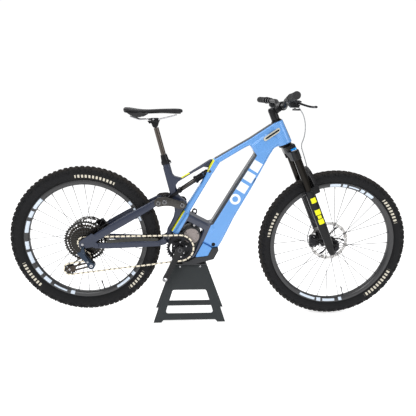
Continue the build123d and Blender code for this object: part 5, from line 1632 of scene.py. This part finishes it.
lowers_cuts += [cross_tube(FRONT_AXLE, -95, 95, 7.6), cross_tube(FRONT_AXLE, -55.5, 55.5, 15.8)]
lowers.build("fork_lower_legs", "fork_lower", "gloss_black", lowers_finish(), "fork_lowers", voxel=1.9,
             relax=5,
             trims=[groove], cuts=lowers_cuts)
seals = Shape()
for y in (-LEG_Y, LEG_Y):
    seals.lathe([(18.3, LOWER_TOP - 3), (21.6, LOWER_TOP - 3), (21.8, LOWER_TOP - 1), (20.6, LOWER_TOP - 0.1),
                 (18.3, LOWER_TOP - 0.1)],
                steer(LEG_OFFSET, y, 0), UP, 48, closed=True)
seals.build("fork_wipers", "fork_lower", "black_rubber", grip_rubber, bevel=0.2)
keep("front_axle", black_coat)

# ================================================================ brakes
def caliper_body(centre, y_low, y_high, angle, disc_y):
    """A two-piece caliper: two halves and two bridges that join them across the disc."""
    c, s = cos(angle), sin(angle)

    def place(a, b, depth):
        return Vector((centre[0] + a * c - b * s, depth, centre[1] + a * s + b * c))

    shape = Shape()
    outline = rounded([(-19, -26), (-12, -31.5), (12, -31.5), (19, -24), (19, 24), (12, 31.5), (-12, 31.5),
                       (-19, 26)], 6)
    shape.plate(outline, y_low + 0.3, disc_y - 2.4, place=place)
    shape.plate(outline, disc_y + 2.4, y_high - 0.3, place=place)
    for b in (-26, 26):
        shape.plate(rounded([(-17, b - 4.6), (17, b - 4.6), (17, b + 4.6), (-17, b + 4.6)], 3), disc_y - 3,
                    disc_y + 3, place=place)
    return shape, place


front, at_front = caliper_body((521, 379), 27, 50.9, 0.0, 40)
disc_slot = Shape()
disc_slot.lathe([(0.1, 37.6), (104, 37.6), (104, 42.4), (0.1, 42.4)], at_y(FRONT_AXLE, 0), sides=96)
hub_room = Shape()
hub_room.lathe([(0.1, 20), (66.3, 20), (66.3, 60), (0.1, 60)], at_y(FRONT_AXLE, 0), sides=96)
front.build("front_caliper_body", "fork_lower", "gloss_black",
            anodised("caliper black", (0.018, 0.018, 0.02), 0.3),
            "front_caliper", voxel=1.1, relax=3, cuts=[disc_slot, hub_room])
details = Shape()
for b in (-25, 25):
    details.bolt(at_front(2, b, 27.2), (0, -1, 0), 3.2, 0.1, dark=1)
details.tube([at_front(-13, 0, 29), at_front(-13, 0, 49)], 2.0, 12)
details.build("front_caliper_pin", "fork_lower", "chrome_bolt", (bolt_steel, dark_bolt))
rear, _ = caliper_body((-544, 468), 46, 66, radians(38), 59)
disc_slot = Shape()
disc_slot.lathe([(0.1, 56.6), (104, 56.6), (104, 61.4), (0.1, 61.4)], at_y(REAR_AXLE, 0), sides=96)
stay_room = box_tube(SEATSTAY[3:], [20, 21, 21, 20, 18], [6.6, 6.8, 6.3, 4.6, 4.2])
rear.build("rear_caliper_body", "upper_stays", "gloss_black",
           anodised("rear caliper black", (0.018, 0.018, 0.02), 0.3),
           "rear_caliper", voxel=1.1, relax=3, cuts=[disc_slot, stay_room])

# ================================================================ cockpit
BAR_MID = steer(50, 0, 735)
BAR_RISE = (BAR_MID.x - 7, BAR_MID.z + 24)
BAR_END = (283.0, 1094.5)


def bar_point(y):
    part = (abs(y) - 110) / 280
    return Vector((BAR_RISE[0] + part * (BAR_END[0] - BAR_RISE[0]), y,
                   BAR_RISE[1] + part * (BAR_END[1] - BAR_RISE[1])))


bar_path = [bar_point(y) for y in (-389.5, -330, -260, -200, -150, -122)]
bar_path += [bar_point(-104) * 0.96 + Vector((BAR_MID.x, -104, BAR_MID.z)) * 0.04,
             Vector((BAR_MID.x - 5.4, -95, BAR_MID.z + 18.5)),
             Vector((BAR_MID.x - 1.4, -74, BAR_MID.z + 4.6)), Vector((BAR_MID.x, -60, BAR_MID.z + 0.6)),
             Vector((BAR_MID.x, -42, BAR_MID.z))]
full = bar_path + [Vector((p.x, -p.y, p.z)) for p in reversed(bar_path)]
radii = [10.9] * 8 + [11.4, 12.8, 15.5] + [15.5, 12.8, 11.4] + [10.9] * 8
fine = smooth_line(full, 6)
bar = Shape()
bar.tube(fine, stepped(radii, 6), 32)
bar.build("handlebar_tube", "fork_upper", "black_anodised", anodised("handlebar black", SATIN_BLACK, 0.34),
          "handlebar")

stem = Shape()
stem.lathe([(14.4, 688.4), (19.6, 688.4), (19.8, 692), (19.8, 738), (18.5, 741.6), (14.4, 741.6)],
           steer(0, 0, 0), UP, 48, closed=True)
stem.lathe([(16.6, 742.2), (16.8, 744), (15.6, 745.7), (5, 745.8), (4, 744.6), (0.1, 744.6)], steer(0, 0, 0),
           UP, 40, mark=1)
reach = (BAR_MID - steer(0, 0, 722)).normalized()
lift = Vector((0, 1, 0)).cross(reach) * -1


def along_stem(a, b, depth):
    return steer(0, 0, 722) + Vector((0, a, 0)) + lift * b + reach * depth


stem.plate(rounded([(-17.6, -14.6), (17.6, -14.6), (17.6, 14.6), (-17.6, 14.6)], 7), 12, 38, place=along_stem)
stem.lathe([(16.0, -25.8), (20.8, -25.8), (20.9, -24), (20.9, 24), (20.8, 25.8), (16.0, 25.8)], BAR_MID,
           (0, 1, 0), 48, closed=True)
for y in (-17, 17):
    for b in (-13, 13):
        stem.bolt(BAR_MID + Vector((0, y, 0)) + lift * b + reach * 15.6, reach, 3.3, 3.0, mark=2, dark=1)
for up in (700, 728):
    stem.bolt(steer(-16.5, 9, up), -AHEAD, 3.2, 2.4, mark=2, dark=1)
stem.build("stem_body", "fork_upper", "black_anodised",
           (anodised("stem black", SATIN_BLACK, 0.32), dark_bolt, bolt_steel),
           "stem", bevel=1.0, segments=3)


def grip_finish():
    """Soft grip rubber with a raised diamond pattern."""
    n = Nodes("grip pattern")
    parts = n.node("ShaderNodeSeparateXYZ", {0: n.place})
    a = n.math("SINE", n.math("MULTIPLY", parts.outputs[1], 2200.0))
    b = n.math("SINE", n.math("MULTIPLY", n.math("ADD", parts.outputs[0], parts.outputs[2]), 1500.0))
    n.bump(n.math("MULTIPLY", a, b), 0.5, 0.0008)
    n.bump(n.noise(900, 3), 0.2, 0.0004)
    return n.finish(mottled(n, (0.014, 0.014, 0.015), 0.25, 60), n.spread(n.noise(80), 0.66, 0.84))


grip = Shape()
for sign in (-1, 1):
    inner, outer = bar_point(sign * 262), bar_point(sign * 390)
    way = (outer - inner).normalized()
    length = (outer - inner).length
    profile = [(11.3, 0), (15.2, 0), (15.6, 2)]
    count = 17
    for i in range(count):
        at = 5 + (length - 12) * i / count
        step = (length - 12) / count
        profile += [(15.75, at), (15.75, at + step * 0.62), (15.0, at + step * 0.70),
                    (15.0, at + step * 0.92)]
    profile += [(15.8, length - 5), (15.4, length - 1), (14.6, length + 1.2), (11.3, length + 1.3)]
    grip.lathe(profile, inner, way, 48)
    grip.lathe([(11.3, -7.8), (17.2, -7.8), (17.7, -7), (17.7, -1), (17.2, -0.2), (11.3, -0.2)], inner, way,
               48, mark=1, closed=True)
    grip.bolt(inner - way * 4 + Vector((0, 0, -17.0)), (0, 0, -1), 2.6, 0.6, mark=2)
grip.build("grip_sleeves", "fork_upper", "black_rubber", (grip_finish(), black_coat, bolt_steel), "grips",
           bevel=0.0)

LEVER_NORMAL = Vector((0.388, 0, 0.922)).normalized()
LEVER_AHEAD = Vector((0.922, 0, -0.388)).normalized()
for sign, side_name, blade_body, blade_node in ((-1, "right", "right_lever", "brake_blade_right"),
                                                (1, "left", "left_lever", "brake_blade_left")):
    knuckle = Vector((338, sign * 228, 1068))
    perch = Shape()
    inner, outer = bar_point(sign * 222.4), bar_point(sign * 237.6)
    perch.lathe([(11.2, 0), (16.0, 0), (16.2, 1), (16.2, (outer - inner).length - 1),
                 (16.0, (outer - inner).length),
                 (11.2, (outer - inner).length)], inner, outer - inner, 40, closed=True)
    perch.tube([bar_point(sign * 229), (bar_point(sign * 229) + knuckle) / 2 + Vector((0, 0, 2)),
                knuckle - LEVER_AHEAD * 7], [8, 7.6, 6.4], 20)
    for way in (-1, 1):
        perch.lathe([(3.2, 5.4), (7.7, 5.4), (7.8, 6.4), (7.8, 9.4), (7.0, 10.7), (3.2, 10.7)], knuckle,
                    LEVER_NORMAL * way, 28, closed=True)
        perch.tube([knuckle + LEVER_NORMAL * way * 8 - LEVER_AHEAD * 5,
                    knuckle - LEVER_AHEAD * 13 + LEVER_NORMAL * way * 5], 2.8, 12)
    tube_line = [knuckle + Vector((-4, -sign * 12, 0)), (332, sign * 190, 1067.6), (329, sign * 165, 1067.2),
                 (327.4, sign * 151, 1067)]
    perch.tube(smooth_line(tube_line, 5), [8.6] * 4 + [8.8] * 7 + [7.6, 7.5, 7.4, 7.2, 7.0], 28)
    perch.lathe([(7.4, 0), (7.4, 2.0), (5, 2.6), (4.5, 5)], Vector((327.4, sign * 151, 1067)), (0, -sign, 0),
                6, mark=1)
    perch.build("lever_perch_" + side_name, "fork_upper", "black_anodised",
                (anodised("lever perch black " + side_name, SATIN_BLACK, 0.34), dark_bolt),
                "brake_lever_bodies",
                voxel=0.9, relax=3)
    spine = [(0, 0, 6.4), (6, 8, 6.2), (14, 16, 5.8), (26, 26, 5.4), (40, 34, 5.2), (60, 38.5, 4.9),
             (80, 40, 4.8), (100, 39.6, 5.0), (116, 38.2, 5.6)]
    points = smooth_line([knuckle + Vector((0, sign * a, 0)) + LEVER_AHEAD * b for a, b, _ in spine], 4)
    radii = stepped([r for _, _, r in spine], 4)
    blade = Shape()
    verts = []
    for i, point in enumerate(points):
        across = heading_at(points, i).cross(LEVER_NORMAL).normalized()
        for k in range(16):
            a = 2 * pi * k / 16
            size = (abs(cos(a)) ** 3 + abs(sin(a)) ** 3) ** (-1 / 3)
            verts.append(point + across * cos(a) * size * radii[i] * 0.92
                         + LEVER_NORMAL * sin(a) * size * 4.2)
    blade.add(verts, strips(len(points), 16) + ends(len(points), 16))
    blade.lathe([(2.9, -10.9), (2.9, 10.9)], knuckle, LEVER_NORMAL, 20, mark=1)
    blade.build("lever_blade_" + side_name, blade_body, "black_anodised",
                (anodised("lever blade black " + side_name, (0.026, 0.026, 0.029), 0.30), bolt_steel),
                blade_node, angle=70)
    pod = Shape()
    a, b = bar_point(sign * 187), bar_point(sign * 205)
    pod.lathe([(11.2, 0), (14.4, 0), (14.8, 1.5), (14.8, (b - a).length - 1.5), (14.4, (b - a).length),
               (11.2, (b - a).length)], a, b - a, 36, closed=True)
    pod.plate(rounded([(301, 1073.5), (322, 1077.5), (345, 1058), (345.5, 1049.5), (312, 1049.5),
                       (301, 1060)], 5), sign * 185, sign * 213)
    pod_cut = [cylinder(bar_point(sign * 170), bar_point(sign * 230), 11.2),
               cylinder((330, sign * 196, 1030), (330, sign * 196, 1052), 5.3)]
    pod.build("control_pod_" + side_name, "fork_upper", "black_plastic",
              plastic("control pod " + side_name, SATIN_BLACK, 0.5),
              "control_pods", voxel=1.1, relax=4, cuts=pod_cut)
    paddle = Shape()
    paddle.plate(hull([(330, sign * 196, 10.6), (334, sign * 240, 7.6)]), 1038.3, 1045.7,
                 place=lambda a, b, depth: Vector((a, b, depth)))
    paddle.lathe([(4.8, 1040), (4.8, 1048)], (330, sign * 196, 0), (0, 0, 1), 20)
    for k in range(5):
        paddle.tube([(328 + k * 0.6, sign * (214 + k * 5), 1038.6),
                     (338.5 - k * 0.7, sign * (214 + k * 5), 1038.6)], 0.7, 6)
    paddle_body, paddle_node = ("shifter", "shift_paddle") if sign < 0 else ("post_remote", "dropper_paddle")
    paddle.build("thumb_paddle_" + side_name, paddle_body, "black_plastic",
                 plastic("thumb paddle " + side_name, (0.03, 0.03, 0.033), 0.45),
                 paddle_node, bevel=1.4, segments=3)

# ================================================================ saddle and its post
SADDLE_HALF = [(-413, 34), (-409, 52), (-400, 64), (-385, 70), (-360, 71.6), (-340, 67), (-318, 57),
               (-295, 45), (-270, 34.5), (-245, 27.5), (-220, 23.2), (-190, 21.5), (-165, 20.4),
               (-153, 18.4), (-147, 15), (-144.2, 9)]
SADDLE_TOP = [(-413, 1043), (-408, 1047), (-395, 1047.6), (-370, 1043.5), (-331, 1038), (-290, 1038.6),
              (-234, 1042), (-190, 1042.5), (-160, 1042), (-150, 1040.5), (-144, 1036)]
SADDLE_BOTTOM = [(-413, 1028), (-400, 1025), (-331, 1021.4), (-280, 1023.6), (-234, 1025), (-178, 1023),
                 (-150, 1022.5), (-144, 1025)]


def between(table, x):
    """The value of an (x, value) table at x."""
    if x <= table[0][0]:
        return table[0][1]
    for (x1, v1), (x2, v2) in zip(table, table[1:]):
        if x <= x2:
            return v1 + (v2 - v1) * (x - x1) / (x2 - x1)
    return table[-1][1]


def saddle_section(x):
    """At x: the half width, the top, the underside, and how far the cover falls at its edge."""
    half, top, low = between(SADDLE_HALF, x), between(SADDLE_TOP, x), between(SADDLE_BOTTOM, x)
    return half, top, low, (top - low) * (0.30 + 0.12 * (half / 72))


def saddle_finish():
    """Smooth synthetic cover with a fine leather grain."""
    n = Nodes("saddle cover")
    n.bump(n.cells(900), 0.35, 0.0004)
    n.bump(n.noise(180, 3), 0.12, 0.0006)
    return n.finish(mottled(n, (0.010, 0.010, 0.012), 0.18, 60), n.spread(n.noise(50), 0.46, 0.60),
                    sheen=0.04, specular=0.25)


pad = Shape()
stations = [x for x, _ in SADDLE_HALF]
rows = []
for x in stations:
    half, top, low, drop = saddle_section(x)
    ring = []
    for t in (-1.0, -0.93, -0.78, -0.55, -0.28, 0.0, 0.28, 0.55, 0.78, 0.93, 1.0):
        fall = drop * abs(t) ** 3.2
        dip = 2.2 * (1 - min(1, abs(t) * 3.0)) * (1 if -380 < x < -200 else 0)
        ring.append(Vector((x, t * half, top - fall - dip)))
    for t in (1.0, 0.86, 0.45, 0.0, -0.45, -0.86, -1.0):
        lift = (top - low) * (0.28 if abs(t) == 1.0 else 0.02)
        ring.append(Vector((x, t * half * (1.0 if abs(t) == 1.0 else 0.97), low + lift)))
    rows.append(ring)
count = len(rows[0])
verts = [v for ring in rows for v in ring]
faces = strips(len(rows), count)
faces.append(list(range(count)))
faces.append([(len(rows) - 1) * count + k for k in range(count)][::-1])
pad.add(verts, faces)
saddle = pad.build("saddle_cushion", "saddle_post", "saddle_cover", saddle_finish(), "saddle_pad", levels=3)

seams = Shape()
for sign in (-1, 1):
    line = []
    for x in range(-396, -156, 12):
        half, top, _, drop = saddle_section(x)
        line.append(Vector((x, sign * half * 0.80, top - drop * 0.80 ** 3.2 - 0.9)))
    seams.tube(smooth_line(line, 3), 0.75, 8)
seams.build("saddle_seams", "saddle_post", "saddle_cover", plastic("seam thread", (0.045, 0.045, 0.05), 0.7))

shell = Shape()
verts = []
stations = [(-409, 0.86)] + [(x, 0.93) for x in range(-398, -160, 17)] + [(-153, 0.7)]
for x, share in stations:
    half, low = between(SADDLE_HALF, x) * share, between(SADDLE_BOTTOM, x)
    for t, h in ((-1, 0.6), (-0.9, -2.2), (-0.5, -4.6), (0, -5.2), (0.5, -4.6), (0.9, -2.2), (1, 0.6),
                 (0.5, 0.6), (0, 0.6), (-0.5, 0.6)):
        verts.append(Vector((x, t * half, low + h)))
faces = strips(len(stations), 10)
faces.append(list(range(10)))
faces.append([(len(stations) - 1) * 10 + k for k in range(10)][::-1])
shell.add(verts, faces)
for sign in (-1, 1):
    wing = Shape()
    wing.plate(rounded([(-398, 1024), (-376, 1010), (-352, 1001.5), (-332, 1003), (-302, 1019), (-330, 1024)],
                       6), sign * 55.0, sign * 60.7)
    shell = join(shell, wing)
shell.build("saddle_base", "saddle_post", "black_plastic",
            plastic("saddle base", (0.022, 0.022, 0.024), 0.42, 1100, 0.2),
            "saddle_shell", levels=0, bevel=0.6)
keep("saddle_rails", rail_steel)

post = Shape()
post.lathe([(11.9, -61.8), (11.9, 130)], along_post(0), POST_DIR, 48)
post.build("dropper_tube", "saddle_post", "bronze_tube", post_metal, "dropper_inner")
head = Shape()
head.plate(hull([(-272.5, 966, 13.2), (-281, 982, 11), (-264, 981, 10)], 32), -13.6, 13.6)
head.plate(rounded([(-305, 980.5), (-251, 984.3), (-251, 988.8), (-305, 986.2)], 2), -27.4, 27.4)
head = join(head, cylinder((-296, -20, 978), (-296, 20, 978), 5.5),
            cylinder((-258, -20, 981), (-258, 20, 981), 4.5))
head.build("dropper_head", "saddle_post", "black_anodised", anodised("post head black", SATIN_BLACK, 0.34),
           voxel=1.1, relax=3)
clamp = Shape()
for sign in (-1, 1):
    clamp.plate(rounded([(-300, 989), (-256, 990), (-254, 995.4), (-262, 998.6), (-292, 998), (-301, 995)],
                        3), sign * 15.5, sign * 28.0)
    clamp.bolt((-278, sign * 28.2, 992.5), (0, sign, 0), 3.8, 1.6, mark=1, dark=1)
clamp.build("rail_clamps", "saddle_post", "black_anodised", (black_coat, bolt_steel), bevel=0.8)

# ================================================================ derailleur
CAGE_OUT, CAGE_IN = CHAIN_Y - 6.0, CHAIN_Y + 5.0
mech = Shape()
mech.plate(hull([(-612, 388, 7.6), (-614, 372, 12.4)]), -93.6, -84.8)
mech.plate(hull([(-631, 372, 7), (-616, 372, 9.6), (-591, 329, 8.6)]), -95.7, -90.2)
mech.plate(hull([(-612, 366, 6.6), (CAGE_PIVOT[0], CAGE_PIVOT[1] + 10, 8.6)]), -84.2, -78.4)
mech.plate(hull([(-590, 326, 8.6), (*CAGE_PIVOT, 16.4)]), -95.4, -70.4)
mech.plate(hull([(REAR_AXLE[0], 401, 7.6), (-612, 386, 7.6)]), -89.6, -82.6)
mech.build("derailleur_links", "upper_stays", "blue_grey_alloy", grey_alloy, "derailleur_body", voxel=1.0,
           relax=4,
           cuts=[cross_tube(REAR_AXLE, -98, -78, 11.2), cross_tube(CAGE_PIVOT, -80, -60, 6.3)])
details = Shape()
for point, y, r in (((-614, 372), -95.4, 5.6), ((-592, 330), -95.4, 4.6), ((-628, 372), -95.4, 3.2),
                    (CAGE_PIVOT, -95.2, 8.0)):
    details.bolt(at_y(point, y + 0.6), (0, -1, 0), r, 0.9, mark=0, dark=1)
details.build("derailleur_bolts", "upper_stays", "chrome_bolt", (bolt_steel, dark_bolt))

cage = Shape()
tail = (TENSION_PULLEY[0], TENSION_PULLEY[1], 14.6)
nose = (GUIDE_PULLEY[0], GUIDE_PULLEY[1], 11.6)
root = (*CAGE_PIVOT, 13.6)


def toward(a, b, share, off=0.0):
    """A point between two places in the side view, moved off the line by `off`."""
    way = (Vector(b[:2]) - Vector(a[:2]))
    side = Vector((-way.y, way.x)).normalized()
    return tuple(Vector(a[:2]) + way * share + side * off)


gap_low = rounded([toward(root, tail, 0.24, 5.5), toward(root, tail, 0.24, -5.5),
                   toward(root, tail, 0.74, -6), toward(root, tail, 0.74, 6)], 5)
cage.plate([hull([root, tail]), gap_low], CAGE_OUT - 2.3, CAGE_OUT - 0.2)
cage.plate(hull([root, nose]), CAGE_OUT - 2.5, CAGE_OUT - 0.1)
gap_in = rounded([toward(nose, tail, 0.22, 5), toward(nose, tail, 0.22, -5), toward(nose, tail, 0.76, -6),
                  toward(nose, tail, 0.76, 6)], 5)
cage.plate([hull([tail, nose]), gap_in], CAGE_IN + 0.2, CAGE_IN + 1.9)
for pulley in (GUIDE_PULLEY, TENSION_PULLEY):
    cage.tube([at_y(pulley, CAGE_OUT - 1), at_y(pulley, CAGE_IN + 1)], 3.8, 20, mark=1)
    cage.bolt(at_y(pulley, CAGE_OUT - 2.2), (0, -1, 0), 4.6, 0.75, mark=1, dark=2)
cage.tube([at_y(CAGE_PIVOT, -78.5), at_y(CAGE_PIVOT, CAGE_OUT - 1)], 5.9, 24, mark=1)
cage.build("derailleur_cage_plates", "cage", "bronze_alloy", (bronze, bolt_steel, dark_bolt),
           "derailleur_cage", bevel=0.4)

for centre, teeth, name, body, node in (
    (GUIDE_PULLEY, GUIDE_TEETH, "guide_pulley_wheel", "upper_pulley", "guide_pulley"),
    (TENSION_PULLEY, TENSION_TEETH, "tension_pulley_wheel", "lower_pulley", "tension_pulley"),
):
    wheel = Shape()
    r = pitch_radius(teeth)
    holes = [circle(polar(centre, r - 10.5, 2 * pi * k / 5), 2.6, 12) for k in range(5)]
    wheel.plate([toothed(centre, teeth, valley_turn(centre, r), 1.0), *holes, circle(centre, 4.2, 20)],
                CHAIN_Y - 1.1, CHAIN_Y + 1.1)
    wheel.lathe([(4.1, -3.9), (7.6, -3.9), (7.6, 3.9), (4.1, 3.9)], at_y(centre, CHAIN_Y), (0, 1, 0), 28,
                mark=1, closed=True)
    wheel.build(name, body, "black_plastic", (soft_black, bolt_steel), node, bevel=0.2, segments=1)

# ================================================================ floor
floor_mesh = bpy.data.meshes.new("floor")
FLOOR_HALF, FLOOR_Z, FLOOR_GLOW = 9, -0.0005, 0.60
corners = [(x * FLOOR_HALF, y * FLOOR_HALF, FLOOR_Z) for x, y in ((-1, -1), (1, -1), (1, 1), (-1, 1))]
floor_mesh.from_pydata(corners, [], [[0, 1, 2, 3]])
floor = bpy.data.objects.new("floor", floor_mesh)
bpy.context.scene.collection.objects.link(floor)
n = Nodes("pale floor")
floor_mesh.materials.append(n.finish(mottled(n, (0.92, 0.92, 0.92), 0.01, 3), 0.6))
n.bsdf.inputs["Emission Color"].default_value = (1, 1, 1, 1)
n.bsdf.inputs["Emission Strength"].default_value = FLOOR_GLOW
floor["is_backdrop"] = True

low, high = CAD_BOX
new_low, new_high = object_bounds()
{"cad_box": [list(low), list(high)], "scene_box": [list(new_low), list(new_high)]}
